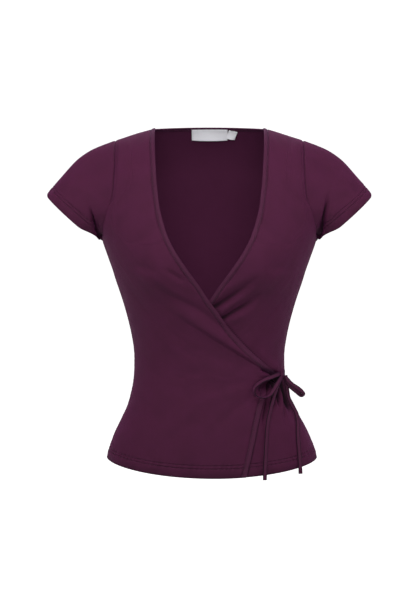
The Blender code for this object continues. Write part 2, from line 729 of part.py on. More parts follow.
def hem_loop(points):
    """The sleeve's hem: an oval, met by each line down the sleeve at the same share of the way round."""
    half = len(points) // 2
    steps = np.linalg.norm(np.roll(points, -1, axis=0) - points, axis=1)
    share = np.concatenate([[0], np.cumsum(steps[:half]) / steps[:half].sum()])
    share = np.concatenate([share, share[-2:0:-1]])
    turn = (share - 0.5) * math.pi
    facing = np.concatenate([np.full(half + 1, -1.0), np.full(half - 1, 1.0)])
    middle, reach = (SLEEVE_TIP + SLEEVE_UNDER) / 2, (SLEEVE_TIP - SLEEVE_UNDER) / 2
    arm = unit(np.cross([0.0, 1.0, 0.0], reach))
    hem = middle + np.sin(turn)[:, None] * reach
    hem[:, 1] += facing * SLEEVE_HALF_DEPTH * np.cos(turn)
    hem -= arm * (SLEEVE_LIFT * np.cos(turn) ** 2 * (facing < 0))[:, None]
    return hem, arm, share


def sleeve(name, side, finish):
    """A short set-in sleeve. Each line runs down it as a bend from the bodice's slope to the arm's."""
    seam, seam_normals, course = armhole_loop()
    along = unit(np.roll(seam, -1, axis=0) - np.roll(seam, 1, axis=0))
    outward = unit(np.cross(along, seam_normals))
    first = seam + outward * SEAM
    hem, arm, share = hem_loop(seam)
    length = np.linalg.norm(hem - first, axis=1, keepdims=True)
    keep = smooth(ARM, RIDGE, course)[:, None]
    lead = unit(outward * keep + unit(hem - first) * (1 - keep))
    top = smooth(SLEEVE_TOP_COURSE, RIDGE, course)[:, None]
    pull_bodice = PULL_SIDE.bodice + (PULL_TOP.bodice - PULL_SIDE.bodice) * top
    pull_arm = PULL_SIDE.arm + (PULL_TOP.arm - PULL_SIDE.arm) * top
    bend_1, bend_2 = first + lead * length * pull_bodice, hem - arm * length * pull_arm
    row = np.linspace(0, 1, SLEEVE_ROWS + 1)[:, None, None]
    grid = (1 - row) ** 3 * first + 3 * row * (1 - row) ** 2 * bend_1
    grid = grid + 3 * row**2 * (1 - row) * bend_2 + row**3 * hem
    normals = loop_normals(grid)
    c = UNDERARM_CREASE
    along_row = np.exp(-(((row[..., 0] - c.row) / c.row_width) ** 2)) * smooth(0, c.start, row[..., 0])
    about = smooth(0, c.foot, share) * (1 - smooth(c.foot, c.top, share))
    about[len(about) // 2 :] *= c.back_share
    grid = grid - normals * (c.depth * along_row * about)[..., None]
    normals = loop_normals(grid)
    normals[0] = unit(normals[0] + seam_normals)
    cloth = CLOTH + (SLEEVE_HEM_CLOTH - CLOTH) * smooth(*SLEEVE_HEM_FOLD, row)
    outer, inner = grid, grid - normals * cloth
    mirror = np.array([side, 1.0, 1.0])
    return wall(name, outer * mirror, inner * mirror, finish, round_about=True)


def loop_normals(grid):
    """Outward directions of a tube's points, rows by columns round."""
    down = np.gradient(grid, axis=0)
    about = np.roll(grid, -1, axis=1) - np.roll(grid, 1, axis=1)
    return unit(np.cross(down, about))


def body_facing(points):
    """Level outward direction from the middle of the body."""
    return unit(points * np.array([1 / WAIST_SECTION.half_width**2, 1 / WAIST_SECTION.front**2, 0.0]))


def tie(name, route, steps, both_ends, facing, finish):
    """A flat tie along its route, bunched where it goes into the knot at its start, or at both ends."""
    places = np.array([row[:3] for row in route])
    turns = np.radians([row.turn for row in route])
    chord = np.concatenate([[0], np.cumsum(np.linalg.norm(np.diff(places, axis=0), axis=1))])
    at = np.linspace(0, chord[-1], steps + 1)
    points = np.stack([curve_through(at, chord, places[:, i]) for i in range(3)], axis=-1)
    turn = curve_through(at, chord, turns)[:, None]
    ahead = unit(np.gradient(points, axis=0))
    flat = unit(np.cross(ahead, body_facing(points) if facing is None else facing))
    width = unit(np.cos(turn) * flat + np.sin(turn) * np.cross(flat, ahead))
    through = unit(np.cross(ahead, width))
    loose = smooth(0, BUNCH_LENGTH, at)
    if both_ends:
        loose = loose * smooth(0, BUNCH_LENGTH, chord[-1] - at)
    half_width = (BUNCH_WIDTH + (TIE_WIDTH - BUNCH_WIDTH) * loose)[:, None] / 2
    half_cloth = (BUNCH_CLOTH + (TIE_CLOTH - BUNCH_CLOTH) * loose)[:, None] / 2
    bm = bmesh.new()
    f = FLAT_SHARE
    corners = ((1.0, 0.0), (f, 1.0), (-f, 1.0), (-1.0, 0.0), (-f, -1.0), (f, -1.0))
    across, thick = half_width * width, half_cloth * through
    rings = [
        [bm.verts.new(p + a * across[i] + b * thick[i]) for a, b in corners] for i, p in enumerate(points)
    ]
    for ring_a, ring_b in zip(rings, rings[1:]):
        for j in range(len(corners)):
            k = (j + 1) % len(corners)
            bm.faces.new([ring_a[j], ring_a[k], ring_b[k], ring_b[j]])
    bm.faces.new(rings[0][::-1])
    bm.faces.new(rings[-1])
    return finish_object(name, bm, finish)


def knot(name, finish):
    """The knot of the bow, a small rounded lump."""
    bm = bmesh.new()
    bmesh.ops.create_icosphere(bm, subdivisions=2, radius=1.0)
    for vertex in bm.verts:
        vertex.co = [KNOT[i] + KNOT_HALF[i] * vertex.co[i] for i in range(3)]
    return finish_object(name, bm, finish)


def main():
    """Builds every piece."""
    for old in list(bpy.data.objects):
        bpy.data.objects.remove(old, do_unlink=True)
    jersey = material("jersey", PLUM, JERSEY_ROUGHNESS)
    edge = material("jersey_edge", PLUM_EDGE, JERSEY_ROUGHNESS)
    label = material("label", LABEL_WHITE, LABEL_ROUGHNESS)
    back("back_panel", jersey)
    front("front_over", over_rise, False, jersey)
    front("front_under", under_rise, True, jersey)
    neck_band("neck_band_back", edge)
    wrap_band("neck_band_over", over_rise, False, TIE, RIDGE, edge)
    wrap_band("neck_band_under", under_rise, True, TIE, RIDGE, edge)
    wrap_band("skirt_edge_over", over_rise, False, HEM, TIE, edge)
    wrap_band("skirt_edge_under", under_rise, True, HEM, TIE, edge)
    sleeve("sleeve_left", 1, jersey)
    sleeve("sleeve_right", -1, jersey)
    tag("neck_label", NECK_LABEL, label)
    tag("size_tab", SIZE_TAB, label)
    knot("tie_knot", edge)
    tie("tie_side", SIDE_STUB, 8, False, None, edge)
    tie("tie_loop_front", FRONT_LOOP, 30, True, FRONT_FACING, edge)
    tie("tie_loop_side", SIDE_LOOP, 24, True, SIDE_FACING, edge)
    tie("tie_tail_front", FRONT_TAIL, 20, False, None, edge)
    tie("tie_tail_side", SIDE_TAIL, 20, False, TAIL_FACING, edge)


if __name__ == "__main__":
    main()
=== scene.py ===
"""Looks of a wrap top in jersey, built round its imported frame.

Every panel is cut from one body form, as in the frame. A place on the form has an angle round the body, 0
at the left side seam and a quarter turn at the middle of the front. It also has a course, 0 at the hem, 1 at
the waist, 2 at the underarm and 3 at the shoulder line. Metres, +X to the wearer's left, +Y to the back,
+Z up.
"""

from __future__ import annotations

import logging
import math
from dataclasses import dataclass, field
from enum import Enum
from functools import cached_property
from typing import Callable, NamedTuple

import bpy
import numpy as np
from mathutils import Matrix, Vector

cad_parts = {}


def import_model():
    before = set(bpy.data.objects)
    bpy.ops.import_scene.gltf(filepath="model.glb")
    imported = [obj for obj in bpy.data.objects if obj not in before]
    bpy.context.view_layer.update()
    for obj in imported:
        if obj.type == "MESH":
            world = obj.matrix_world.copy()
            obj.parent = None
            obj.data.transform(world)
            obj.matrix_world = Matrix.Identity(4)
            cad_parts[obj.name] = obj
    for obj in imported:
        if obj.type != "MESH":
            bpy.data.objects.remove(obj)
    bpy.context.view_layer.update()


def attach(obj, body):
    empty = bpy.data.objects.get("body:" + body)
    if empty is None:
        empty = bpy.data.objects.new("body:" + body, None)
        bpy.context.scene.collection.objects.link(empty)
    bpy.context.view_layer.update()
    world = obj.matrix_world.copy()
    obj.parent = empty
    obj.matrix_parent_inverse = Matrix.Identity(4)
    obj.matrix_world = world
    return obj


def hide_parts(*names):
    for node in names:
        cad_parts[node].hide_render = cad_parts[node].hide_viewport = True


LOG = logging.getLogger("wrap_top")
MM = 0.001
TINY = 1e-12  # divides where a length or a step is 0
Array = np.ndarray

HEM, TIE, ARM, RIDGE = 0.0, 1.0, 2.0, 3.0  # courses
HEM_RUN = 147.5 * MM  # length of the skirt from waist to hem, which a course of 1 stands for
BAND_WIDTH = 7.8 * MM
BAND_PROUD = 0.3 * MM  # how far a folded band stands out from the panel, on each face
OVERLAP = 3.4 * MM  # from the outer face of the under front to that of the over front
CLOTH = 1.0 * MM
HEM_CLOTH = 1.9 * MM
TWIN_LINES = (14.0 * MM, 18.8 * MM)  # the two lines of stitching, from the hem's edge
TURNED_UP = (20.5 * MM, 22.5 * MM)  # between these distances from its edge the turned-up hem ends
SEAM_PUCKER, HEM_PUCKER, SLEEVE_PUCKER, BAND_PUCKER = 0.18 * MM, 0.22 * MM, 0.20 * MM, 0.12 * MM


class Section(NamedTuple):
    """The body form at one level. The skirt swings a little to the left, so its middle moves across."""

    level: float
    middle: float
    half_width: float
    front: float
    back: float


class EdgePoint(NamedTuple):
    """A point of a cut edge: its course and how far it lies from the middle of the front."""

    course: float
    x: float


class Fold(NamedTuple):
    """A soft ridge, or a trough where height is negative, along a bowed line seen from the front."""

    x0: float
    z0: float
    x1: float
    z1: float
    bow: float
    width: float
    height: float
    fade_in: float
    fade_out: float
    taper: float = 1.0  # its width at the far end, as a share of that at the start
    crease: float = 0.0  # where its lower side ends in a crease, as a share of its width; 0 if it is soft


class TiePoint(NamedTuple):
    """A point of a tie's middle line, and by how many degrees the tie is turned there from lying flat."""

    x: float
    y: float
    z: float
    turn: float


def rows_of(kind: type, *rows: tuple[float, ...]) -> tuple:
    """A table: each row of numbers as that kind of tuple."""
    return tuple(kind(*row) for row in rows)


SECTIONS = rows_of(
    Section,
    (-0.580, 0.0048, 0.1830, 0.112, 0.112), (-0.530, 0.0042, 0.1712, 0.108, 0.112),
    (-0.490, 0.0036, 0.1567, 0.103, 0.109), (-0.440, 0.0018, 0.1323, 0.095, 0.098),
    (-0.400, 0.0003, 0.1220, 0.089, 0.084), (-0.363, 0.0000, 0.1204, 0.087, 0.075),
    (-0.330, 0.0000, 0.1243, 0.091, 0.074), (-0.286, 0.0000, 0.1352, 0.100, 0.081),
    (-0.234, 0.0000, 0.1515, 0.111, 0.090), (-0.179, 0.0000, 0.1698, 0.110, 0.097),
    (-0.140, 0.0000, 0.1800, 0.102, 0.099), (-0.090, 0.0000, 0.1870, 0.091, 0.097),
    (-0.040, 0.0000, 0.1860, 0.081, 0.090), (0.000, 0.0000, 0.1840, 0.073, 0.084),
)
WRAP_EDGE = rows_of(
    EdgePoint,
    (0.00, 0.0530), (0.35, 0.0664), (0.55, 0.0741), (0.75, 0.0835), (0.90, 0.0965),
    (1.00, 0.1110), (1.03, 0.1015), (1.10, 0.0846), (1.20, 0.0634), (1.30, 0.0444),
    (1.40, 0.0276), (1.50, 0.0135), (1.60, -0.0014), (1.70, -0.0150), (1.80, -0.0300),
    (2.00, -0.0570), (2.25, -0.0745), (2.50, -0.0815), (2.75, -0.0855), (3.00, -0.0860),
)
ARMHOLE = rows_of(
    EdgePoint,
    (2.00, 0.1705), (2.12, 0.1680), (2.23, 0.1615), (2.35, 0.1545), (2.50, 0.1500),
    (2.75, 0.1490), (3.00, 0.1490),
)
OVER_FOLDS = rows_of(
    Fold,
    (-0.069, -0.267, 0.087, -0.375, 0.0015, 0.0130, 0.0034, 0.30, 0.10, 0.40, 0.80),
    (-0.078, -0.247, 0.034, -0.322, 0.0070, 0.0060, -0.0024, 0.35, 0.25),
    (-0.092, -0.223, -0.012, -0.280, -0.0012, 0.0065, 0.0020, 0.40, 0.40),
    (-0.072, -0.214, -0.034, -0.238, 0.0008, 0.0045, -0.0022, 0.35, 0.35),
    (-0.130, -0.213, -0.071, -0.225, 0.0047, 0.0070, -0.0015, 0.40, 0.40),
    (-0.100, -0.330, 0.072, -0.392, -0.0060, 0.0120, 0.0012, 0.50, 0.30),
    (-0.050, -0.440, 0.094, -0.398, 0.0040, 0.0100, 0.0012, 0.50, 0.25, 0.6),
    (0.000, -0.470, 0.094, -0.404, 0.0040, 0.0090, -0.0012, 0.50, 0.25, 0.6),
    (0.1125, -0.3905, 0.0715, -0.4150, -0.0020, 0.0066, -0.0200, 0.08, 0.50, 1.5),
    (0.1060, -0.3872, 0.0720, -0.3725, 0.0004, 0.0026, -0.0100, 0.10, 0.60, 1.1),
)
UNDER_FOLDS = rows_of(
    Fold,
    (-0.002, -0.282, 0.090, -0.215, -0.0024, 0.0050, -0.0046, 0.05, 0.65, 1.3),
    (0.008, -0.290, 0.092, -0.233, 0.0015, 0.0052, 0.0022, 0.10, 0.60, 1.2),
    (0.010, -0.300, 0.099, -0.245, -0.0010, 0.0046, -0.0052, 0.05, 0.65, 1.4),
    (0.016, -0.306, 0.084, -0.274, 0.0006, 0.0070, 0.0022, 0.15, 0.60),
    (0.006, -0.266, 0.056, -0.224, 0.0010, 0.0060, 0.0012, 0.20, 0.50),
    (0.081, -0.219, 0.142, -0.215, 0.0025, 0.0080, -0.0014, 0.40, 0.40),
    (0.064, -0.334, 0.112, -0.382, -0.0019, 0.0050, 0.0012, 0.30, 0.10),
    (0.1122, -0.3930, 0.0985, -0.4500, 0.0006, 0.0021, -0.0150, 0.05, 0.70, 1.3),
    (0.1160, -0.3890, 0.1335, -0.4600, -0.0008, 0.0025, -0.0180, 0.05, 0.70, 2.1),
    (0.1136, -0.3920, 0.1103, -0.4460, 0.0002, 0.0019, -0.0150, 0.05, 0.65, 1.5),
    (0.1172, -0.4070, 0.1212, -0.4700, 0.0003, 0.0015, -0.0058, 0.15, 0.60, 1.5),
    (0.1148, -0.4060, 0.1162, -0.4620, 0.0005, 0.0022, 0.0020, 0.15, 0.60, 1.6),
    (0.1190, -0.3980, 0.1330, -0.4420, -0.0015, 0.0030, 0.0030, 0.15, 0.40, 1.2),
    (0.1052, -0.4010, 0.0945, -0.4500, -0.0007, 0.0016, -0.0100, 0.08, 0.60, 1.5),
    (0.1010, -0.4060, 0.0890, -0.4620, -0.0004, 0.0020, 0.0016, 0.15, 0.60, 1.6),
    (0.0930, -0.4150, 0.0820, -0.4750, -0.0001, 0.0017, -0.0055, 0.10, 0.60, 2.0),
    (0.0830, -0.4180, 0.0680, -0.4800, 0.0002, 0.0018, -0.0042, 0.15, 0.60, 2.0),
)
BACK_FOLDS = rows_of(
    Fold,
    (0.105, -0.360, -0.020, -0.395, 0.006, 0.013, 0.0030, 0.3, 0.5),
    (-0.112, -0.372, 0.000, -0.335, -0.005, 0.012, 0.0035, 0.3, 0.6),
    (-0.112, -0.398, -0.030, -0.420, 0.004, 0.013, 0.0030, 0.3, 0.6),
)
# On the sleeves x is counted away from the body.
LEFT_SLEEVE_FOLDS = rows_of(
    Fold,
    (0.1885, -0.0930, 0.1705, -0.1790, 0.0008, 0.0022, -0.0080, 0.45, 0.0, 1.5),
    (0.1960, -0.1100, 0.1800, -0.1760, 0.0010, 0.0060, 0.0018, 0.40, 0.2),
)
RIGHT_SLEEVE_FOLDS = rows_of(
    Fold,
    (0.1890, -0.1170, 0.1700, -0.1790, 0.0007, 0.0019, -0.0078, 0.40, 0.0, 1.4),
    (0.1970, -0.1200, 0.1800, -0.1760, 0.0010, 0.0055, 0.0016, 0.40, 0.2),
)
FRONT_LOOP = rows_of(
    TiePoint,
    (0.1130, -0.0487, -0.3858, 0), (0.1066, -0.0575, -0.3870, -5), (0.0975, -0.0668, -0.3893, -20),
    (0.0872, -0.0748, -0.3920, -35), (0.0778, -0.0813, -0.3965, -50), (0.0708, -0.0864, -0.4032, -70),
    (0.0697, -0.0890, -0.4100, -85), (0.0742, -0.0895, -0.4160, -95), (0.0822, -0.0875, -0.4186, -105),
    (0.0934, -0.0828, -0.4164, -120), (0.0997, -0.0762, -0.4101, -140), (0.1050, -0.0685, -0.4027, -160),
    (0.1101, -0.0598, -0.3957, -175), (0.1146, -0.0503, -0.3898, -180),
)
SIDE_LOOP = rows_of(
    TiePoint,
    (0.1203, -0.0500, -0.3885, 10), (0.1237, -0.0512, -0.3954, 5), (0.1310, -0.0515, -0.4027, 5),
    (0.1396, -0.0500, -0.4090, 5), (0.1467, -0.0475, -0.4148, 20), (0.1495, -0.0440, -0.4194, 30),
    (0.1465, -0.0405, -0.4219, 20), (0.1396, -0.0400, -0.4173, 5), (0.1325, -0.0400, -0.4116, 5),
    (0.1267, -0.0412, -0.4053, 5), (0.1230, -0.0445, -0.3974, 10), (0.1220, -0.0460, -0.3891, 20),
)
FRONT_TAIL = rows_of(
    TiePoint,
    (0.1151, -0.0467, -0.3913, 0), (0.1105, -0.0545, -0.3990, 0), (0.1056, -0.0640, -0.4090, 0),
    (0.0996, -0.0742, -0.4260, 0), (0.0952, -0.0805, -0.4418, 0), (0.0920, -0.0850, -0.4566, 0),
    (0.0895, -0.0920, -0.4850, 0), (0.0878, -0.0982, -0.5156, 0), (0.0870, -0.1010, -0.5341, 0),
    (0.0868, -0.1022, -0.5470, 0),
)
SIDE_TAIL = rows_of(
    TiePoint,
    (0.1182, -0.0443, -0.3911, 0), (0.1212, -0.0385, -0.3990, 0), (0.1230, -0.0330, -0.4080, 0),
    (0.1266, -0.0350, -0.4276, 0), (0.1325, -0.0330, -0.4399, 0), (0.1388, -0.0345, -0.4520, 0),
    (0.1405, -0.0440, -0.4645, 0), (0.1402, -0.0555, -0.4792, 0), (0.1418, -0.0672, -0.5060, 0),
    (0.1430, -0.0725, -0.5243, 0), (0.1438, -0.0750, -0.5420, 0),
)
SIDE_STUB = rows_of(
    TiePoint,
    (0.1178, -0.0418, -0.3864, 0), (0.1188, -0.0340, -0.3874, 0), (0.1197, -0.0230, -0.3882, 0),
    (0.1203, -0.0120, -0.3886, 0), (0.1205, -0.0010, -0.3888, 0),
)


# ---- Curves and vectors ----


def curve_through(at: Array, places: Array, values: Array) -> Array:
    """A smooth curve through points: cubic pieces that share their slopes.

    Args:
        at: Places to read the curve at.
        places: Places of the points, growing.
        values: Values of the points.

    Returns:
        The curve's value at each place.
    """
    places, values, at = (np.asarray(a, float) for a in (places, values, at))
    slopes = np.gradient(values, places)
    i = np.clip(np.searchsorted(places, at) - 1, 0, len(places) - 2)
    span = places[i + 1] - places[i]
    s = np.clip((at - places[i]) / span, 0.0, 1.0)
    start = (1 + 2 * s) * (1 - s) ** 2 * values[i] + s * (1 - s) ** 2 * span * slopes[i]
    end = s * s * (3 - 2 * s) * values[i + 1] - s * s * (1 - s) * span * slopes[i + 1]
    return start + end


def read_table(table: tuple[NamedTuple, ...], column: str, at: Array) -> Array:
    """One column of a table, read smoothly at several places of the table's first column."""
    return curve_through(at, [row[0] for row in table], [getattr(row, column) for row in table])


def smooth(low: float, high: float, value: Array) -> Array:
    """0 up to low, 1 from high on, a smooth step between. High may be lower than low, or the same."""
    s = np.clip((value - low) / ((high - low) or TINY), 0.0, 1.0)
    return s * s * (3 - 2 * s)


def bell(value: Array, width: float) -> Array:
    """1 where the value is 0, falling off as a bell over that width."""
    return np.exp(-((value / width) ** 2))


def unit(vectors: Array) -> Array:
    """Vectors of length 1."""
    return vectors / np.maximum(np.linalg.norm(vectors, axis=-1, keepdims=True), TINY)


def run_of(line: Array) -> Array:
    """Distance of each point of a line from its first, along the line."""
    return np.concatenate([[0], np.cumsum(np.linalg.norm(np.diff(line, axis=0), axis=-1))])


def full_turn(count: int) -> Array:
    """That many angles, evenly round a circle."""
    return np.linspace(0, 2 * math.pi, count + 1)[:-1]


def nearest(values: Array, at: float) -> int:
    """Which of the values is nearest to a given one."""
    return int(np.argmin(np.abs(values - at)))


def rounded(away: Array, reach: Array | float, least: float) -> Array:
    """A circle's height over a round edge: 1 from its reach on, and at least the root of the least."""
    return np.sqrt(np.clip(1 - (1 - np.clip(away / reach, 0, 1)) ** 2, least, 1))


def ring(angle: Array) -> tuple[Array, Array]:
    """(across, forward) of a section, each from -1 to 1: an ellipse with fuller rounds."""
    fuller = 0.09
    c, s = np.cos(angle), np.sin(angle)
    return c * (1 + fuller * s * s), s * (1 + fuller * c * c)


QUARTER = np.linspace(0.0, math.pi / 2, 2000)  # fine steps of a quarter turn, to look angles up in
QUARTER_ACROSS = ring(QUARTER)[0]


def angle_at(across: Array) -> Array:
    """The angle on the front, 0 to a half turn, where a section lies a share of its half width across."""
    quarter = np.interp(np.abs(across), QUARTER_ACROSS[::-1], QUARTER[::-1])
    return np.where(np.asarray(across) >= 0, quarter, math.pi - quarter)


def steps(*parts: tuple[float, float, int]) -> Array:
    """Growing places: each part runs from its first value to its second in that many steps."""
    runs = [np.linspace(low, high, count + 1)[:-1] for low, high, count in parts]
    return np.concatenate([*runs, [parts[-1][1]]])


# ---- The body form and the cut edges on it ----


@dataclass(frozen=True)
class BodyForm:
    """The form that the panels are cut from, in metres."""

    sections: tuple[Section, ...] = SECTIONS
    underarm: float = -0.179
    dome_foot: float = -0.085
    waist: float = -0.388
    hem_side: float = -0.5270
    hem_dip_front: float = 0.0165
    hem_dip_back: float = 0.004
    neck_half: float = 0.086
    shoulder_slope: float = 0.33
    neck_round: float = 0.040
    neck_rise: float = 0.018
    neck_power: float = 1.5  # of the rise's bump
    ridge_y: float = 0.004
    back_neck_z: float = 0.0012
    dome_course: float = 2.5
    bust_x: float = 0.086
    bust_level: float = -0.218
    bust_spread: float = 0.052
    bust_above: float = 0.070
    bust_below: float = 0.036
    bust_height: float = 0.016
    chest_level: float = -0.130
    chest_reach: float = 0.085
    chest_fullness: float = 0.22  # how much flatter the chest's front is than the rest
    least_square: float = 0.45

    def shoulder_height(self, x: Array) -> Array:
        """Height of the shoulder line over the neck points: a slope that climbs more at the neck."""
        fall = math.hypot(self.neck_half, self.neck_round) - np.hypot(x, self.neck_round)
        bump = np.clip(1 - (x / self.neck_half) ** 2, 0, 1) ** self.neck_power
        return self.shoulder_slope * fall + self.neck_rise * bump

    def level(self, course: Array, across: Array, front: Array) -> Array:
        """Level of a course. From hem to waist it also depends on how low the hem hangs below it."""
        dip = np.where(front, self.hem_dip_front, self.hem_dip_back)
        hem = self.hem_side - dip * (1 - across**2)
        turn = np.clip((course - self.dome_course) / (RIDGE - self.dome_course), 0, 1) * math.pi / 2
        skirt = hem + (self.waist - hem) * course
        bodice = self.waist + (self.underarm - self.waist) * (course - TIE)
        chest = self.underarm + (self.dome_foot - self.underarm) * (course - ARM) / (self.dome_course - ARM)
        dome = self.dome_foot * (1 - np.sin(turn))
        below = [course < TIE, course < ARM, course < self.dome_course]
        return np.select(below, [skirt, bodice, chest], dome)

    def point(self, angle: Array, course: Array) -> Array:
        """Points of the form: each section, drawn in to the shoulder line where the chest rounds over.

        Args:
            angle: Angles round the body.
            course: Courses, of a shape that goes with the angles.

        Returns:
            Points, with x, y and z last.
        """
        angle, course = np.broadcast_arrays(np.asarray(angle, float), np.asarray(course, float))
        across, forward = ring(angle)
        level = self.level(course, across, forward >= 0)
        x = read_table(self.sections, "middle", level)
        x = x + read_table(self.sections, "half_width", level) * across
        mounds = bell(x - self.bust_x, self.bust_spread) + bell(x + self.bust_x, self.bust_spread)
        off = level - self.bust_level
        mounds = mounds * np.where(off > 0, bell(off, self.bust_above), bell(off, self.bust_below))
        fuller = 1 + self.chest_fullness * bell(level - self.chest_level, self.chest_reach) * across**2
        depth_front = read_table(self.sections, "front", level) * fuller + self.bust_height * mounds
        depth_back = read_table(self.sections, "back", level)
        y = -np.where(forward >= 0, depth_front, depth_back) * forward
        dome = np.sqrt(1 - np.clip((level - self.dome_foot) / -self.dome_foot, 0, 1) ** 2)
        y = np.where(level < self.dome_foot, y, self.ridge_y + (y - self.ridge_y) * dome)
        chest = np.clip((level - self.underarm) / -self.underarm, 0, 1)
        return np.stack([x, y, level + self.shoulder_height(x) * chest**2], axis=-1)

    def slopes(self, angle: Array, course: Array) -> tuple[Array, Array]:
        """How the form's point moves with the angle and with the course."""
        step = 1e-3
        low, high = np.clip(course - step, HEM, RIDGE), np.clip(course + step, HEM, RIDGE)
        by_angle = (self.point(angle + step, course) - self.point(angle - step, course)) / (2 * step)
        by_course = (self.point(angle, high) - self.point(angle, low)) / (high - low)[..., None]
        return by_angle, by_course

    def normal(self, angle: Array, course: Array) -> Array:
        """The form's outward direction: square to both of its slopes."""
        by_angle, by_course = self.slopes(angle, course)
        return unit(np.cross(by_course, by_angle))

    def face(self, angle: Array, course: Array) -> tuple[Array, Array]:
        """Points of the form, and its outward directions there."""
        return self.point(angle, course), self.normal(angle, course)

    def grain(self, angle: Array, course: Array, straight: float) -> Array:
        """Places on the flat cloth, which is cut with its wales along one straight line of the form.

        Across is the length of the level line from the straight line to the place, and along is the length
        of the straight line from the hem up to the place's course.

        Args:
            angle: Angles round the body.
            course: Courses.
            straight: Angle of the straight line.

        Returns:
            Across and along in metres.
        """
        pieces, upright_points = 16, 241
        share = np.linspace(0, 1, pieces + 1)
        level_line = self.point(straight + (angle - straight)[..., None] * share, course[..., None])
        length = np.linalg.norm(np.diff(level_line, axis=-2), axis=-1).sum(axis=-1)
        courses = np.linspace(HEM, RIDGE, upright_points)
        run = run_of(self.point(np.full(courses.shape, straight), courses))
        return np.stack([length * np.sign(angle - straight), np.interp(course, courses, run)], axis=-1)

    def armhole_angle(self, course: Array) -> Array:
        """Angle from the side seam to the armhole seam. It is 0 up to the underarm."""
        half_width = read_table(self.sections, "half_width", self.level(course, 1.0, True))
        across = read_table(ARMHOLE, "x", course) / half_width
        return np.where(course <= ARM, 0.0, angle_at(np.clip(across, 0, 1)))

    def wrap_x(self, course: Array) -> Array:
        """How far past the middle the over front's wrap edge lies."""
        return read_table(WRAP_EDGE, "x", course)

    def wrap_angle(self, course: Array) -> Array:
        """Angle of the over front's wrap edge, found in rounds because the level there hangs on it."""
        rounds = 6
        across = self.wrap_x(course) / self.sections[0].half_width
        for _ in range(rounds):
            half_width = read_table(self.sections, "half_width", self.level(course, across, True))
            across = np.clip(self.wrap_x(course) / half_width, -1, 1)
        return angle_at(across)

    def band_angle(self, course: Array, width: float) -> Array:
        """Angle that a band of that width takes up, measured square to the wrap edge."""
        edge = self.wrap_angle(course)
        along_edge = unit(np.gradient(self.point(edge, course), course, axis=0))
        by_angle, _ = self.slopes(edge, course)
        square = np.linalg.norm(np.cross(along_edge, unit(by_angle)), axis=-1)
        return width / (np.maximum(square, self.least_square) * np.linalg.norm(by_angle, axis=-1))

    def neckline(self, share: Array, depth: Array) -> tuple[Array, Array]:
        """Place on the back at shares of the way round the neck and depths below its edge.

        The edge is level: its course at each x is found by halving the span that holds it. A line below it
        is the same curve, wider at the shoulder and lower in the middle.

        Args:
            share: Shares of the way from the middle to a neck point, -1 to 1.
            depth: Depths below the edge, in metres, of a shape that goes with the shares.

        Returns:
            Angles and courses.
        """
        x = share * self.neck_half
        target = np.minimum(self.back_neck_z * (1 - share**2), self.shoulder_height(x))
        deepest_target = np.minimum(self.back_neck_z, self.shoulder_height(np.zeros(1)))
        drop = self._drop(x, target)
        deepest = self._drop(np.zeros(1), deepest_target)[0]
        _, down = self.slopes(np.array([-math.pi / 2]), np.array([RIDGE - deepest]))
        deeper = 1 + depth / np.linalg.norm(down[0]) / deepest
        course = RIDGE - drop * deeper
        half_width = read_table(self.sections, "half_width", self.level(course, 0.0, False))
        return -angle_at(share * (self.neck_half + depth) / half_width), course

    def _drop(self, x: Array, target: Array) -> Array:
        """How many courses below the shoulder line the back is at that height."""
        halvings = 40
        low, high = np.full(np.shape(x), ARM), np.full(np.shape(x), RIDGE)
        for _ in range(halvings):
            middle = (low + high) / 2
            level = self.level(middle, 0.0, False)
            height = level + self.shoulder_height(x) * ((level - self.underarm) / -self.underarm) ** 2
            low, high = np.where(height < target, middle, low), np.where(height < target, high, middle)
        return RIDGE - (low + high) / 2


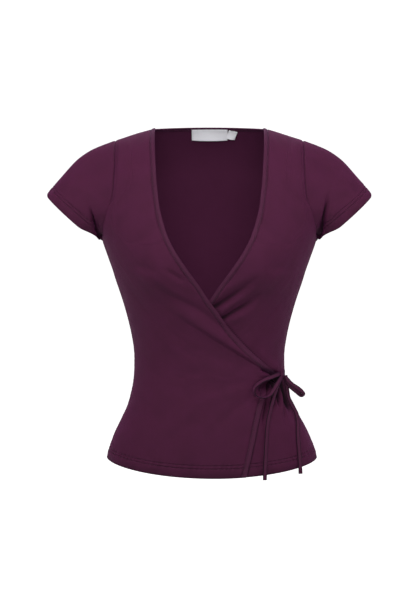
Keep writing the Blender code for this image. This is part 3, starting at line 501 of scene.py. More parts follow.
@dataclass(frozen=True)
class Drape:
    """How far each panel lies outside the form: the lap of the fronts and the folds."""

    form: BodyForm
    lap_change: tuple[float, float] = (-0.05, 0.05)
    shown: tuple[float, float] = (0.0005, 0.0185)  # where ridges come out from under the over front
    sunk: tuple[float, float] = (-0.0100, 0.0)  # where troughs begin under it
    fold_free: float = 2.7
    arch: float = 1.3  # power of the round side of a fold that ends in a crease
    seam_free: tuple[float, float] = (0.005, 0.034)  # depths between which folds fade towards the side seams

    def folds(self, points: Array, course: Array, folds: tuple[Fold, ...]) -> Array:
        """Lift by the folds: each is a bell across its bowed line, and fades in and out along it.

        Args:
            points: Points on the form.
            course: Their courses.
            folds: The table of folds.

        Returns:
            Heights in metres.
        """
        x, z = points[..., 0], points[..., 2]
        total = np.zeros_like(x)
        for f in folds:
            run = np.array([f.x1 - f.x0, f.z1 - f.z0])
            long = np.hypot(*run)
            along = ((x - f.x0) * run[0] + (z - f.z0) * run[1]) / long**2
            off = ((z - f.z0) * run[0] - (x - f.x0) * run[1]) / long
            off = off - f.bow * 4 * along * (1 - along)
            fade = smooth(0, f.fade_in, along) * (1 - smooth(1 - f.fade_out, 1, along))
            off = off / (f.width * (1 + (f.taper - 1) * np.clip(along, 0, 1)))
            total += f.height * fade * np.where(off < 0, self.lower_side(off, f.crease), bell(off, 1.0))
        return total * (1 - smooth(ARM, self.fold_free, course))

    def lower_side(self, off: Array, crease: float) -> Array:
        """A fold's lower side: a bell, or an arch down to a crease at that share of the fold's width."""
        return np.clip(1 - (off / crease) ** 2, 0, 1) ** self.arch if crease else bell(off, 1.0)

    def panel_folds(self, points: Array, course: Array, folds: tuple[Fold, ...]) -> Array:
        """Lift by the folds of a panel, which fade out towards its side seams."""
        return self.folds(points, course, folds) * smooth(*self.seam_free, np.abs(points[..., 1]))

    def over(self, points: Array, course: Array) -> Array:
        """The over front is level with the back at its own side, and on the under front past the middle."""
        folds = self.panel_folds(points, course, OVER_FOLDS)
        return OVERLAP * smooth(*self.lap_change, points[..., 0]) + folds

    def under(self, points: Array, course: Array) -> Array:
        """The under front takes the over front's folds inside it, and shows its own folds past its edge."""
        x = points[..., 0]
        past = x - self.form.wrap_x(course)
        shown, sunk = smooth(*self.shown, past), smooth(*self.sunk, past)
        ridges = self.panel_folds(points, course, tuple(f for f in UNDER_FOLDS if f.height > 0))
        troughs = self.panel_folds(points, course, tuple(f for f in UNDER_FOLDS if f.height < 0))
        hidden = (1 - shown) * self.panel_folds(points, course, OVER_FOLDS)
        return shown * ridges + sunk * troughs + hidden - OVERLAP * (1 - smooth(*self.lap_change, x))

    def back(self, points: Array, course: Array) -> Array:
        """The back has only its folds."""
        return self.panel_folds(points, course, BACK_FOLDS)


Rise = Callable[[Array, Array], Array]


# ---- Finishes ----


def linear(hex_colour: str) -> tuple[float, float, float, float]:
    """An sRGB hex colour as linear red, green, blue and alpha."""
    parts = [int(hex_colour[i : i + 2], 16) / 255 for i in (1, 3, 5)]
    values = [c / 12.92 if c <= 0.04045 else ((c + 0.055) / 1.055) ** 2.4 for c in parts]
    return (*values, 1.0)


def add_node(tree: bpy.types.NodeTree, kind: str, inputs: dict | None = None, **settings) -> bpy.types.Node:
    """Adds a node, makes its settings, and fills its sockets.

    Args:
        tree: Node tree that takes it.
        kind: Blender's name of the node's type, without ShaderNode at its start.
        inputs: Socket name or number to a value, or to the output socket that feeds it.
        **settings: The node's own properties.

    Returns:
        The node.
    """
    made = tree.nodes.new("ShaderNode" + kind)
    for name, value in settings.items():
        setattr(made, name, value)
    for name, value in (inputs or {}).items():
        if isinstance(value, bpy.types.NodeSocket):
            tree.links.new(value, made.inputs[name])
        else:
            made.inputs[name].default_value = value
    return made


def link(name: str, data: bpy.types.ID) -> bpy.types.Object:
    """A new object with that data, linked to the scene."""
    made = bpy.data.objects.new(name, data)
    bpy.context.scene.collection.objects.link(made)
    return made


WAVE_TURN = 2 * math.pi / 20  # a wave texture of scale 1 repeats over this length
PAINTED_SHADE = "painted_shade"  # each vertex's share of painted shade, 0 to 1: full in deep folds, a little in seams and stitch grooves


@dataclass(frozen=True)
class Finish:
    """A cloth finish on a Principled shader. Subclasses add their pattern."""

    name: str
    colour: str
    deep_colour: str
    roughness: float
    sheen: float
    sheen_tint: str
    specular: float = 0.3
    mottle: float = 18 * MM  # size of the faint unevenness of the dye
    glow: float = 0.0  # how bright it glows of itself: an evenly lit sweep, or painted light that lifts the cloth's shade
    painted_dark_colour: str = "#14050e"  # painted shade: a near-black mixed into the colour in deep folds, seams and stitch grooves
    sheen_roughness: float = 0.45
    fuzz: float = 1.2 * MM  # size of the surface's finest unevenness
    fuzz_depth: float = 0.05 * MM

    def material(self) -> bpy.types.Material:
        """The finish as a material, made once."""
        found = bpy.data.materials.get(self.name)
        if found:
            return found
        made = bpy.data.materials.new(self.name)
        made.use_nodes = True
        shader = made.node_tree.nodes["Principled BSDF"]
        constants = {
            "Roughness": self.roughness,
            "Specular IOR Level": self.specular,
            "Sheen Weight": self.sheen,
            "Sheen Roughness": self.sheen_roughness,
            "Sheen Tint": linear(self.sheen_tint),
            "Emission Color": linear(self.colour),
            "Emission Strength": self.glow,
        }
        for socket, value in constants.items():
            shader.inputs[socket].default_value = value
        self.paint(made.node_tree, shader)
        return made

    def paint(self, tree: bpy.types.NodeTree, shader: bpy.types.Node) -> None:
        """Adds the colour, darkened with painted shade in deep folds and seams, and the bump."""
        place = add_node(tree, "TexCoord").outputs["Object"]
        cloud = {"Vector": place, "Scale": 1 / self.mottle, "Detail": 3.0, "Roughness": 0.6}
        dye = add_node(tree, "TexNoise", cloud).outputs["Fac"]
        dyes = {0: dye, 6: linear(self.colour), 7: linear(self.deep_colour)}
        colour = add_node(tree, "Mix", dyes, data_type="RGBA").outputs[2]
        # Painted shade: the dye is mixed towards a near-black by each vertex's share.
        painted_shade = add_node(tree, "Attribute", attribute_name=PAINTED_SHADE).outputs["Fac"]
        shades = {0: painted_shade, 6: colour, 7: linear(self.painted_dark_colour)}
        painted_dark = add_node(tree, "Mix", shades, data_type="RGBA").outputs[2]
        tree.links.new(painted_dark, shader.inputs["Base Color"])
        height, depth = self.height(tree)
        bump = add_node(tree, "Bump", {"Height": height, "Distance": depth, "Strength": 1.0})
        tree.links.new(bump.outputs["Normal"], shader.inputs["Normal"])

    def height(self, tree: bpy.types.NodeTree) -> tuple[bpy.types.NodeSocket, float]:
        """The pattern's height, 0 to 1, and its real depth in metres."""
        place = add_node(tree, "TexCoord").outputs["Object"]
        fuzz = add_node(tree, "TexNoise", {"Vector": place, "Scale": 1 / self.fuzz, "Detail": 2.0})
        return fuzz.outputs["Fac"], self.fuzz_depth


@dataclass(frozen=True)
class Knit(Finish):
    """Fine weft-knit jersey. Columns of small Vs, the wales, run down the cloth."""

    wale: float = 1.1 * MM  # the real one is about 0.55 mm, and is drawn coarser so that it shows close up
    course: float = 0.8 * MM
    bend: float = 0.6  # how far a loop's point lies down the cloth from its ends, as a share of a course
    depth: float = 0.10 * MM

    def height(self, tree: bpy.types.NodeTree) -> tuple[bpy.types.NodeSocket, float]:
        """A wave across the wales, and one down them that the first bends into Vs."""
        uv = add_node(tree, "UVMap", uv_map="cloth").outputs["UV"]
        split = add_node(tree, "SeparateXYZ", {0: uv}).outputs
        across = {"Vector": uv, "Scale": WAVE_TURN / self.wale}
        wales = add_node(tree, "TexWave", across, bands_direction="X").outputs["Fac"]
        bend = {0: wales, 1: self.bend * self.course, 2: split["Y"]}
        bend = add_node(tree, "Math", bend, operation="MULTIPLY_ADD").outputs[0]
        bent = add_node(tree, "CombineXYZ", {0: split["X"], 1: bend}).outputs[0]
        down = {"Vector": bent, "Scale": WAVE_TURN / self.course}
        loops = add_node(tree, "TexWave", down, bands_direction="Y").outputs["Fac"]
        height = add_node(tree, "Math", {0: loops, 1: 0.5, 2: wales}, operation="MULTIPLY_ADD")
        return height.outputs[0], self.depth


@dataclass(frozen=True)
class Satin(Finish):
    """Woven satin tape: fine ribs of weft across a smooth warp."""

    weft: float = 0.7 * MM  # the real one is about 0.2 mm, and is drawn coarser so that it shows close up
    depth: float = 0.05 * MM

    def height(self, tree: bpy.types.NodeTree) -> tuple[bpy.types.NodeSocket, float]:
        """A wave down the tape."""
        uv = add_node(tree, "UVMap", uv_map="cloth").outputs["UV"]
        down = {"Vector": uv, "Scale": WAVE_TURN / self.weft}
        ribs = add_node(tree, "TexWave", down, bands_direction="Y")
        return ribs.outputs["Fac"], self.depth


# Viscose jersey with elastane, piece dyed plum: a matt face with a soft violet sheen where it turns away.
JERSEY = Knit(
    "viscose_jersey_piece_dyed", "#481a37", "#42182f",
    roughness=0.75, sheen=0.16, sheen_tint="#b0409a", specular=0.08,
)
# Its inner faces: rougher with less sheen, in a darker copy painted as shade, lifted evenly by painted
# light.
JERSEY_INSIDE_SHADED = Knit(
    "viscose_jersey_inside_painted_shade_and_light", "#3c172e", "#38152a",
    roughness=0.85, sheen=0.12, sheen_tint="#9a3a88", specular=0.06, glow=0.22,
)
# The same jersey folded and pressed into bands and ties: firmer, and lighter where folds catch light.
BAND_JERSEY = Knit(
    "viscose_jersey_folded_pressed", "#481c37", "#411a30",
    roughness=0.7, sheen=0.24, sheen_tint="#7f3f8b", specular=0.1,
)
# Spun polyester thread, twisted: a little glossier and lighter than the cloth.
THREAD = Finish(
    "polyester_thread_spun", "#4a1d38", "#3b162c",
    roughness=0.5, sheen=0.1, sheen_tint="#8f4f8b", specular=0.3, mottle=2 * MM,
)
# Polyester satin tape, woven white: bright and smooth, with a slight gloss.
LABEL_SATIN = Satin(
    "polyester_satin_woven", "#e9e9ee", "#e2e2e8",
    roughness=0.45, sheen=0.1, sheen_tint="#ffffff", specular=0.5, mottle=6 * MM,
)
# White polyester thread: as bright as the tape, and a little duller.
LABEL_THREAD = Finish(
    "polyester_thread_white", "#d8d8de", "#cfcfd6",
    roughness=0.5, sheen=0.1, sheen_tint="#ffffff", specular=0.5, mottle=2 * MM,
)
# Matt white studio paper, lit from below: an even white floor.
PAPER = Finish(
    "studio_paper_matt", "#fcfcfc", "#fafafa",
    roughness=0.9, sheen=0.0, sheen_tint="#ffffff", specular=0.2, mottle=400 * MM, glow=1.0,
)


# ---- Cloth surfaces ----


class Side(Enum):
    """A side of a patch."""

    FIRST_ROW = "first row"
    LAST_ROW = "last row"
    FIRST_COLUMN = "first column"
    LAST_COLUMN = "last column"


class Edge(Enum):
    """How a patch ends at a side."""

    FOLDED = "a free edge, rounded over"
    SEAM = "rolls into a seam with its neighbour"
    FLAT_SEAM = "pressed flat into a seam"
    BUTTED = "meets its neighbour flat"


SEAM_DIP, SEAM_ROLL = 1.5 * MM, 1.6 * MM
FLAT_SEAM_DIP = 0.75 * MM
RIM_LEAST = 0.003  # how thin a folded edge ends, as the square of a share of the wall


@dataclass
class Patch:
    """A grid of points on a cloth's outer face, with its outward directions."""

    points: Array
    normals: Array
    around: bool = False  # the columns close on themselves
    grain: Array | None = None  # places on the flat cloth, or distances along the patch if there are none
    lift: Array | None = None  # depth of its folds, from which the painted shade in deep folds is set

    def closing(self, grid: Array) -> Array:
        """A grid of values, with its first column once more at the end where the patch closes."""
        return np.concatenate([grid, grid[:, :1]], axis=1) if self.around else grid

    @cached_property
    def across(self) -> Array:
        """Distance along each row from the first column, with one more column where the patch closes."""
        gaps = np.linalg.norm(np.diff(self.closing(self.points), axis=1), axis=-1)
        return np.concatenate([np.zeros((len(gaps), 1)), np.cumsum(gaps, axis=1)], axis=1)

    @cached_property
    def along(self) -> Array:
        """Distance along each column from the first row."""
        gaps = np.linalg.norm(np.diff(self.points, axis=0), axis=-1)
        return np.concatenate([np.zeros((1, self.points.shape[1])), np.cumsum(gaps, axis=0)])

    def distance(self, side: Side) -> Array:
        """Distance of each point from a side."""
        if side is Side.FIRST_ROW:
            return self.along
        if side is Side.LAST_ROW:
            return self.along[-1:] - self.along
        if side is Side.FIRST_COLUMN:
            return self.across
        return self.across[:, -1:] - self.across

    def moved(self, height: Array) -> Patch:
        """The patch with its points moved out."""
        return Patch(self.points + self.normals * height[..., None], self.normals, self.around)

    @property
    def flat(self) -> Array:
        """Places on the flat cloth, with one more column where the patch closes."""
        if self.grain is not None:
            return self.grain
        return np.stack([self.across, self.closing(self.along)], axis=-1)

    @property
    def area(self) -> float:
        """Area of the outer face: half of each cell's diagonals crossed."""
        p = self.closing(self.points)
        cells = np.cross(p[1:, 1:] - p[:-1, :-1], p[1:, :-1] - p[:-1, 1:])
        return float(np.linalg.norm(cells, axis=-1).sum() / 2)


def quads_of(rows: int, columns: int, around: bool) -> tuple[Array, Array]:
    """Faces of a grid.

    Args:
        rows: Rows of points.
        columns: Points in a row.
        around: Whether each row closes on itself.

    Returns:
        Vertex numbers of each face's corners, and the same corners' numbers in the grid of UVs, which has
        one more column where the rows close.
    """
    i, j = np.meshgrid(np.arange(rows - 1), np.arange(columns if around else columns - 1), indexing="ij")

    def cells(wide: int, next_j: Array) -> Array:
        """Corner numbers of every face in a grid that many columns wide."""
        low, high = i * wide, (i + 1) * wide
        return np.stack([low + j, low + next_j, high + next_j, high + j], axis=-1).reshape(-1, 4)

    return cells(columns, (j + 1) % columns), cells(columns + around, j + 1)


def mesh_object(
    name: str, points: Array, faces: Array, uv: Array, finish: Finish, painted_shade: Array | None = None
) -> bpy.types.Object:
    """An object from arrays, smooth and with its finish.

    Args:
        name: Name of the piece.
        points: Vertices, one a row.
        faces: Vertex numbers of each face, all of the same number of corners.
        uv: A UV pair for each corner of each face, in metres.
        finish: Its finish.
        painted_shade: Share of painted shade at each vertex, or none if there is none.

    Returns:
        The object, linked to the scene.
    """
    mesh = bpy.data.meshes.new(name)
    mesh.from_pydata(points.reshape(-1, 3).tolist(), [], faces.tolist())
    layer = mesh.uv_layers.new(name="cloth")
    layer.data.foreach_set("uv", uv.reshape(-1).astype(np.float32))
    if painted_shade is not None:
        values = mesh.attributes.new(PAINTED_SHADE, "FLOAT", "POINT")
        values.data.foreach_set("value", painted_shade.reshape(-1).astype(np.float32))
    mesh.shade_smooth()
    mesh.materials.append(finish.material())
    mesh.validate()
    return link(name, mesh)


def cloth_wall(
    name: str,
    patch: Patch,
    thickness: Array,
    edges: dict[Side, Edge],
    relief: Array,
    finish: Finish,
    through: bool = False,
    reverse: Finish | None = None,
) -> bpy.types.Object:
    """A closed wall of cloth behind a patch.

    A folded edge is round: the wall's half thickness falls as a circle's height towards it. At a seam the
    outer face dips as a bell.

    Args:
        name: Name of the piece.
        patch: Its outer face.
        thickness: Thickness at each point, or one for all.
        edges: How it ends at each side.
        relief: How far the outer face stands out at each point, such as less than nothing along stitches.
        finish: Its finish.
        through: Whether seams and stitches dent the inner face as well.
        reverse: Finish of the inner face, if it is another.

    Returns:
        The object.
    """
    least = 0.45  # of its thickness is left where both faces dip
    thickness = np.broadcast_to(thickness, patch.points.shape[:2])
    half, rim, dip = thickness / 2, np.ones(thickness.shape), -np.asarray(relief)
    columns = thickness.shape[1]
    for side, edge in edges.items():
        away = patch.distance(side)[:, :columns]
        if edge is Edge.FOLDED:
            rim = rim * rounded(away, half, RIM_LEAST)
        elif edge is Edge.SEAM:
            dip = dip + SEAM_DIP * bell(away, SEAM_ROLL)
        elif edge is Edge.FLAT_SEAM:
            dip = dip + FLAT_SEAM_DIP * bell(away, SEAM_ROLL)
    drawn = half * (1 - rim)
    outer = patch.points - patch.normals * (dip * rim + drawn)[..., None]
    dent = np.clip(dip, 0, (1 - least) * thickness / 2) if through else 0.0
    depth = np.maximum(thickness - dent, dip + least * thickness)
    inner = patch.points - patch.normals * (depth * rim + thickness * (1 - rim) - drawn)[..., None]
    rows = len(outer)
    faces, corners = quads_of(rows, columns, patch.around)
    back, back_corners = faces[:, ::-1] + rows * columns, corners[:, ::-1]
    wide, shift = columns + patch.around, rows * columns
    j = np.arange(columns if patch.around else columns - 1)
    k, last = (j + 1) % columns, (rows - 1) * columns
    rims = [
        np.stack([k, j, shift + j, shift + k], axis=-1),
        np.stack([last + j, last + k, shift + last + k, shift + last + j], axis=-1),
    ]
    rim_corners = [
        np.stack([j + 1, j, j, j + 1], axis=-1),
        np.stack([j, j + 1, j + 1, j], axis=-1) + (rows - 1) * wide,
    ]
    if not patch.around:
        i = np.arange(rows - 1)
        low, high = i * columns, (i + 1) * columns
        end = columns - 1
        rims += [
            np.stack([low, high, shift + high, shift + low], axis=-1),
            np.stack([high + end, low + end, shift + low + end, shift + high + end], axis=-1),
        ]
        rim_corners += [
            np.stack([low, high, high, low], axis=-1),
            np.stack([high + end, low + end, low + end, high + end], axis=-1),
        ]
    all_faces = np.concatenate([faces, back, *rims])
    all_corners = np.concatenate([corners, back_corners, *rim_corners])
    first = outer.reshape(-1, 3)[faces]
    facing = np.cross(first[:, 2] - first[:, 0], first[:, 3] - first[:, 1])
    out = (facing * patch.normals.reshape(-1, 3)[faces[:, 0]]).sum()
    if out < 0:
        all_faces, all_corners = all_faces[:, ::-1], all_corners[:, ::-1]
    uv = patch.flat.reshape(-1, 2)[all_corners]
    points = np.concatenate([outer.reshape(-1, 3), inner.reshape(-1, 3)])
    # Painted shade on the outer face, and on the inner one only where seams dent it through.
    painted_shade = painted_shade_share(dip, patch.lift)
    piece = mesh_object(name, points, all_faces, uv, finish, np.stack([painted_shade, painted_shade * through]))
    if reverse:
        piece.data.materials.append(reverse.material())
        inside = np.repeat([0, 1, 0], [len(faces), len(back), len(all_faces) - len(faces) - len(back)])
        piece.data.polygons.foreach_set("material_index", inside.astype(np.int32))
    return piece


def painted_shade_share(dip: Array, lift: Array | None) -> Array:
    """Share of painted shade: a little where seams and stitches dent the cloth, all of it in a deep fold."""
    dent, gather = 3.3 * MM, (-2.5 * MM, -9 * MM)
    closed = np.clip(dip / dent, 0, 1)
    return closed if lift is None else np.maximum(closed, smooth(*gather, lift))


def ease(patch: Patch) -> Array:
    """The broad unevenness of cloth that hangs: three slanting waves, each bent by one more."""
    height, third_share = 0.26 * MM, 0.6
    across, along = patch.across[:, : patch.points.shape[1]], patch.along
    first = np.sin(across / (8.5 * MM) + 1.7 * np.sin(along / (23 * MM)) + 0.4)
    second = np.sin(along / (11 * MM) - across / (17 * MM) + 1.3 * np.sin(across / (14 * MM)))
    third = np.sin(along / (6.5 * MM) + across / (9.5 * MM) + 1.9 * np.sin(along / (31 * MM) + 2.0))
    return height * (first + second + third_share * third) / 2


def groove(distance: Array, lines: tuple[float, ...]) -> Array:
    """How deep stitches pull the cloth in: a bell across each line."""
    depth, width = 0.9 * MM, 0.95 * MM
    return -depth * sum(bell(distance - at, width) for at in lines)


def tuck(from_hem: Array) -> Array:
    """How far a turned-up hem leans in towards its edge: the square of the distance below its stitching."""
    lean = 1.6 * MM
    return -lean * np.clip(1 - from_hem / TWIN_LINES[0], 0, 1) ** 2


def pucker(run: Array, away: Array, height: float) -> Array:
    """Uneven small waves along a seam, which fade with the distance from it."""
    pitch, swing, swing_pitch, reach = 9.5 * MM, 1.9, 41 * MM, 5 * MM
    wave = np.sin(2 * math.pi * run / pitch + swing * np.sin(2 * math.pi * run / swing_pitch))
    return height * wave * bell(away, reach)


@dataclass
class Topstitch:
    """Rows of stitches: each is a short thread, a spindle that lies half sunk in the cloth."""

    name: str
    lines: list[tuple[Array, Array]] = field(default_factory=list)  # points and outward directions
    pitch: float = 3.1 * MM
    length: float = 2.5 * MM
    thickness: float = 0.36 * MM
    sides: int = 5
    rings: tuple[float, ...] = (-0.36, 0.0, 0.36)  # where a stitch's rings lie, as shares of its length
    radii: tuple[float, ...] = (0.6, 1.0, 0.6)  # of the rings, as shares of the thread's
    sunk: float = 0.6  # how far its ends lie below its middle, in the thread's radii
    proud: float = 0.3  # how far its middle line lies above the cloth, in the thread's radii

    def add(self, points: Array, normals: Array) -> None:
        """Adds a line of stitching."""
        self.lines.append((points, normals))

    def add_rows(self, patch: Patch, distances: Array, lines: tuple[float, ...]) -> None:
        """Adds a line of stitching along the row of the patch that is nearest to each distance."""
        for line in lines:
            row = nearest(distances, line)
            self.add(patch.closing(patch.points)[row], patch.closing(patch.normals)[row])

    def build(self, finish: Finish) -> bpy.types.Object:
        """Every stitch as one mesh.

        A stitch is a tube of three rings round its own line, closed by a point at each end: its radius is
        full in the middle and less near the ends.
        """
        turn, radii, sides = full_turn(self.sides), np.array(self.radii)[:, None], self.sides
        along = np.concatenate([[-0.5], np.repeat(self.rings, sides), [0.5]])
        side = np.concatenate([[0.0], (radii * np.cos(turn)).ravel(), [0.0]])
        out = np.concatenate([[-self.sunk], (radii * np.sin(turn)).ravel(), [-self.sunk]])
        wall = quads_of(len(self.rings), sides, True)[0] + 1
        j = np.arange(sides)
        k, tail = (j + 1) % sides, 1 + (len(self.rings) - 1) * sides
        start = np.stack([np.zeros_like(j), 1 + k, 1 + j], axis=-1)
        end = np.stack([np.full_like(j, len(along) - 1), tail + j, tail + k], axis=-1)
        triangles = np.concatenate([wall[:, [0, 1, 2]], wall[:, [0, 2, 3]], start, end])
        points = []
        for line, normals in self.lines:
            run = run_of(line)
            count = max(int(run[-1] / self.pitch), 1)
            at = (np.arange(count) + 0.5) * run[-1] / count
            half = self.length / 2
            middle, up, ahead, behind = (
                np.stack([np.interp(at + d, run, grid[:, i]) for i in range(3)], axis=-1)
                for grid, d in ((line, 0.0), (normals, 0.0), (line, half), (line, -half))
            )
            up, run_on = unit(up), unit(ahead - behind)
            over = unit(np.cross(run_on, up))
            radius = self.thickness / 2
            spindle = (
                (middle + up * radius * self.proud)[:, None]
                + run_on[:, None] * (along * self.length)[:, None]
                + over[:, None] * (side * radius)[:, None]
                + up[:, None] * (out * radius)[:, None]
            )
            points.append(spindle)
        points = np.concatenate(points)
        faces = (triangles + (np.arange(len(points)) * len(along))[:, None, None]).reshape(-1, 3)
        made = mesh_object(self.name, points, faces, np.zeros((len(faces) * 3, 2)), finish)
        return turn_outwards(made)


def turn_outwards(piece: bpy.types.Object) -> bpy.types.Object:
    """Turns a closed mesh's faces outwards if its volume comes out below nothing."""
    mesh = piece.data
    points = np.empty(len(mesh.vertices) * 3, np.float32)
    mesh.vertices.foreach_get("co", points)
    mesh.calc_loop_triangles()
    corners = np.empty(len(mesh.loop_triangles) * 3, np.int32)
    mesh.loop_triangles.foreach_get("vertices", corners)
    a, b, c = np.moveaxis(points.reshape(-1, 3)[corners.reshape(-1, 3)], 1, 0)
    if np.einsum("ij,ij->", a, np.cross(b, c)) < 0:
        mesh.flip_normals()
    return piece


# ---- The garment's sub-assemblies ----


def hem_steps(stitched: int) -> Array:
    """Distances from a hem's edge, close together at the edge and over the stitching, in that many steps."""
    return steps((0, 0.6, 4), (0.6, 2, 2), (2, 12, 5), (12, 21, stitched), (21, 24, 2)) * MM


def panel_courses() -> Array:
    """Rows of a panel: close together at the hem's edge, its lines of stitching and the shoulder seam."""
    stitched_rows, skirt_rows, bodice_rows, underarm_rows = 22, 48, 86, 15
    underarm_reach, near_seam, at_seam = 0.11, 2.94, 2.985
    hem = hem_steps(stitched_rows) / HEM_RUN
    skirt = np.linspace(hem[-1], TIE, skirt_rows)[1:]
    bodice = np.linspace(TIE, ARM, bodice_rows)[1:]
    underarm = ARM + underarm_reach * np.linspace(0, 1, underarm_rows)[1:] ** 2
    chest = steps((underarm[-1], near_seam, 64), (near_seam, at_seam, 7), (at_seam, RIDGE, 5))[1:]
    return np.concatenate([hem, skirt, bodice, underarm, chest])


COURSES = panel_courses()


def hem_cloth(course: Array) -> Array:
    """Thickness of the wall: greater in the turned-up hem."""
    return HEM_CLOTH + (CLOTH - HEM_CLOTH) * smooth(*TURNED_UP, course * HEM_RUN)


def spread(width: Array, near: tuple[float, ...], count: int) -> Array:
    """Shares of the way across strips: set distances from either edge, then even steps between.

    Args:
        width: Width of each strip in metres.
        near: Distances from an edge, growing from 0. They draw together on a strip too narrow for them.
        count: How many even steps lie between.

    Returns:
        Shares, a row for each strip.
    """
    most = 0.42  # of the width
    left = np.asarray(near)[None, :] / np.maximum(width, near[-1] / most)[:, None]
    step = np.linspace(0, 1, count + 1)[None, 1:-1]
    middle = left[:, -1:] + (1 - 2 * left[:, -1:]) * step
    return np.concatenate([left, middle, 1 - left[:, ::-1]], axis=1)


def give_way(course: Array) -> Array:
    """Power by which columns give way to the armhole: only the nearest at the underarm, and all above it."""
    most, all_from = 4, 2.55
    return 1 + most * (1 - smooth(ARM, all_from, course))


SEAM_STEPS = tuple(d * MM for d in (0, 0.4, 0.9, 1.5, 2.3, 3.1, 3.8, 4.3, 4.7, 5.1, 5.8, 6.8))
NEAR_STEPS = (*SEAM_STEPS, *np.linspace(7.8, 46.8, 31) * MM)  # close enough for gathers and pleats
ALLOWANCE = 4.7 * MM  # width of the seam allowance that lies under a front beside its armhole


def allowance(away: Array, course: Array) -> Array:
    """The dent along the allowance's edge under the cloth: a bell across it that fades in up the armhole."""
    depth, width, low, high = 0.8 * MM, 0.8 * MM, 2.1, 2.4
    return -depth * bell(away - ALLOWANCE, width) * smooth(low, high, course)


def set_on(piece: bpy.types.Object, slot: str, *nodes: str) -> bpy.types.Object:
    """Puts a piece on the frame: it rides on the root and stands for nodes."""
    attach(piece, "root")
    if nodes:
        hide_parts(*nodes)
    LOG.info("%s: %d faces", piece.name, len(piece.data.polygons))
    return piece


def state_sheet(
    patch: Patch,
    size: tuple[float, float],
) -> None:
    """Works out the area of a piece of cloth, at most nearly that of the size it was cut to. It is not kept.

    Args:
        patch: Its outer face.
        size: Width and length of the cut, in metres.
    """
    fill = 0.98  # of a rectangle, at most
    area = min(patch.area, fill * size[0] * size[1])


@dataclass
class Panel:
    """A panel of the body. Each subclass says where its outer face lies."""

    name: str
    node: str
    form: BodyForm
    rise: Rise
    far_edge = Edge.SEAM  # how its last column ends
    cut = (0.50, 0.60)  # width and length of the cloth that it is cut from
    sewn_to = ("back_panel",)

    def patch(self) -> Patch:
        """The outer face."""
        raise NotImplementedError

    def relief(self, patch: Patch, course: Array) -> Array:
        """How far the outer face stands out: stitches, the hem's lean, unevenness and puckers at seams."""
        relief = groove(course * HEM_RUN, TWIN_LINES) + tuck(course * HEM_RUN) + ease(patch)
        for side in (Side.FIRST_COLUMN, Side.LAST_COLUMN):
            relief = relief + pucker(patch.along, patch.distance(side), SEAM_PUCKER)
        return relief

    def build(self, stitches: Topstitch, bands: tuple[bpy.types.Object, ...]) -> None:
        """The panel, with its hem turned up and stitched twice."""
        patch = self.patch()
        course = np.broadcast_to(COURSES[:, None], patch.points.shape[:2])
        relief = self.relief(patch, course)
        edges = dict(zip(Side, (Edge.FOLDED, Edge.SEAM, Edge.SEAM, self.far_edge)))
        wall = hem_cloth(course)
        piece = cloth_wall(self.name, patch, wall, edges, relief, JERSEY, reverse=JERSEY_INSIDE_SHADED)
        stitches.add_rows(patch.moved(relief), COURSES * HEM_RUN, TWIN_LINES)
        set_on(piece, "jersey", self.node)
        state_sheet(patch, self.cut)


@dataclass
class FrontPanel(Panel):
    """A front from its side seam and armhole to the seam of its edge band."""

    mirrored: bool  # the under front mirrors the over front
    columns: int = 90
    painted_dark: float = 1.35  # painted shade in its folds is set from their depth times this, so its gathers darken sooner than other folds
    edge_shadow_depth: float = 6.4 * MM  # painted shadow on the under front beside the over front's edge, as dark as in a fold this deep
    edge_shadow_at: float = 1.2 * MM
    edge_shadow_width: float = 2.6 * MM
    straight: float = 0.25  # share of a half turn from its side seam to where its wales run straight down
    far_edge = Edge.FLAT_SEAM
    cut = (0.46, 0.60)

    def patch(self) -> Patch:
        """The outer face: the form between the side seam and the band's seam, moved out by the rise."""
        armhole = self.form.armhole_angle(COURSES)
        end = self.form.wrap_angle(COURSES) + self.form.band_angle(COURSES, BAND_WIDTH)
        middle = (math.pi - armhole + end) / 2
        width = np.linalg.norm(self.form.slopes(middle, COURSES)[0], axis=-1) * (math.pi - armhole - end)
        share = spread(width, NEAR_STEPS, self.columns)
        angle = math.pi + (end - math.pi)[:, None] * share
        angle = angle - armhole[:, None] * (1 - share) ** give_way(COURSES)[:, None]
        angle = math.pi - angle if self.mirrored else angle
        course = np.broadcast_to(COURSES[:, None], angle.shape)
        points, normals = self.form.face(angle, course)
        straight = self.straight if self.mirrored else 1 - self.straight
        grain = self.form.grain(angle, course, math.pi * straight)
        lift = self.rise(points, course)
        # Painted shade from the depth of the folds, and on the under front a painted shadow beside the over
        # front's edge.
        painted_dark = self.painted_dark * lift
        if self.mirrored:
            beside = self.form.wrap_angle(COURSES)[:, None] - angle
            beside = beside / self.form.band_angle(COURSES, 1.0)[:, None]
            painted_dark = np.minimum(painted_dark, -self.edge_shadow_depth * bell(beside - self.edge_shadow_at, self.edge_shadow_width))
        return Patch(points + normals * lift[..., None], normals, grain=grain, lift=painted_dark)

    def relief(self, patch: Patch, course: Array) -> Array:
        """As on every panel, with the allowance beside the armhole and puckers along the hem's stitches."""
        relief = super().relief(patch, course) + allowance(patch.distance(Side.FIRST_COLUMN), course)
        for line in TWIN_LINES:
            relief = relief + pucker(patch.across, course * HEM_RUN - line, HEM_PUCKER)
        return relief


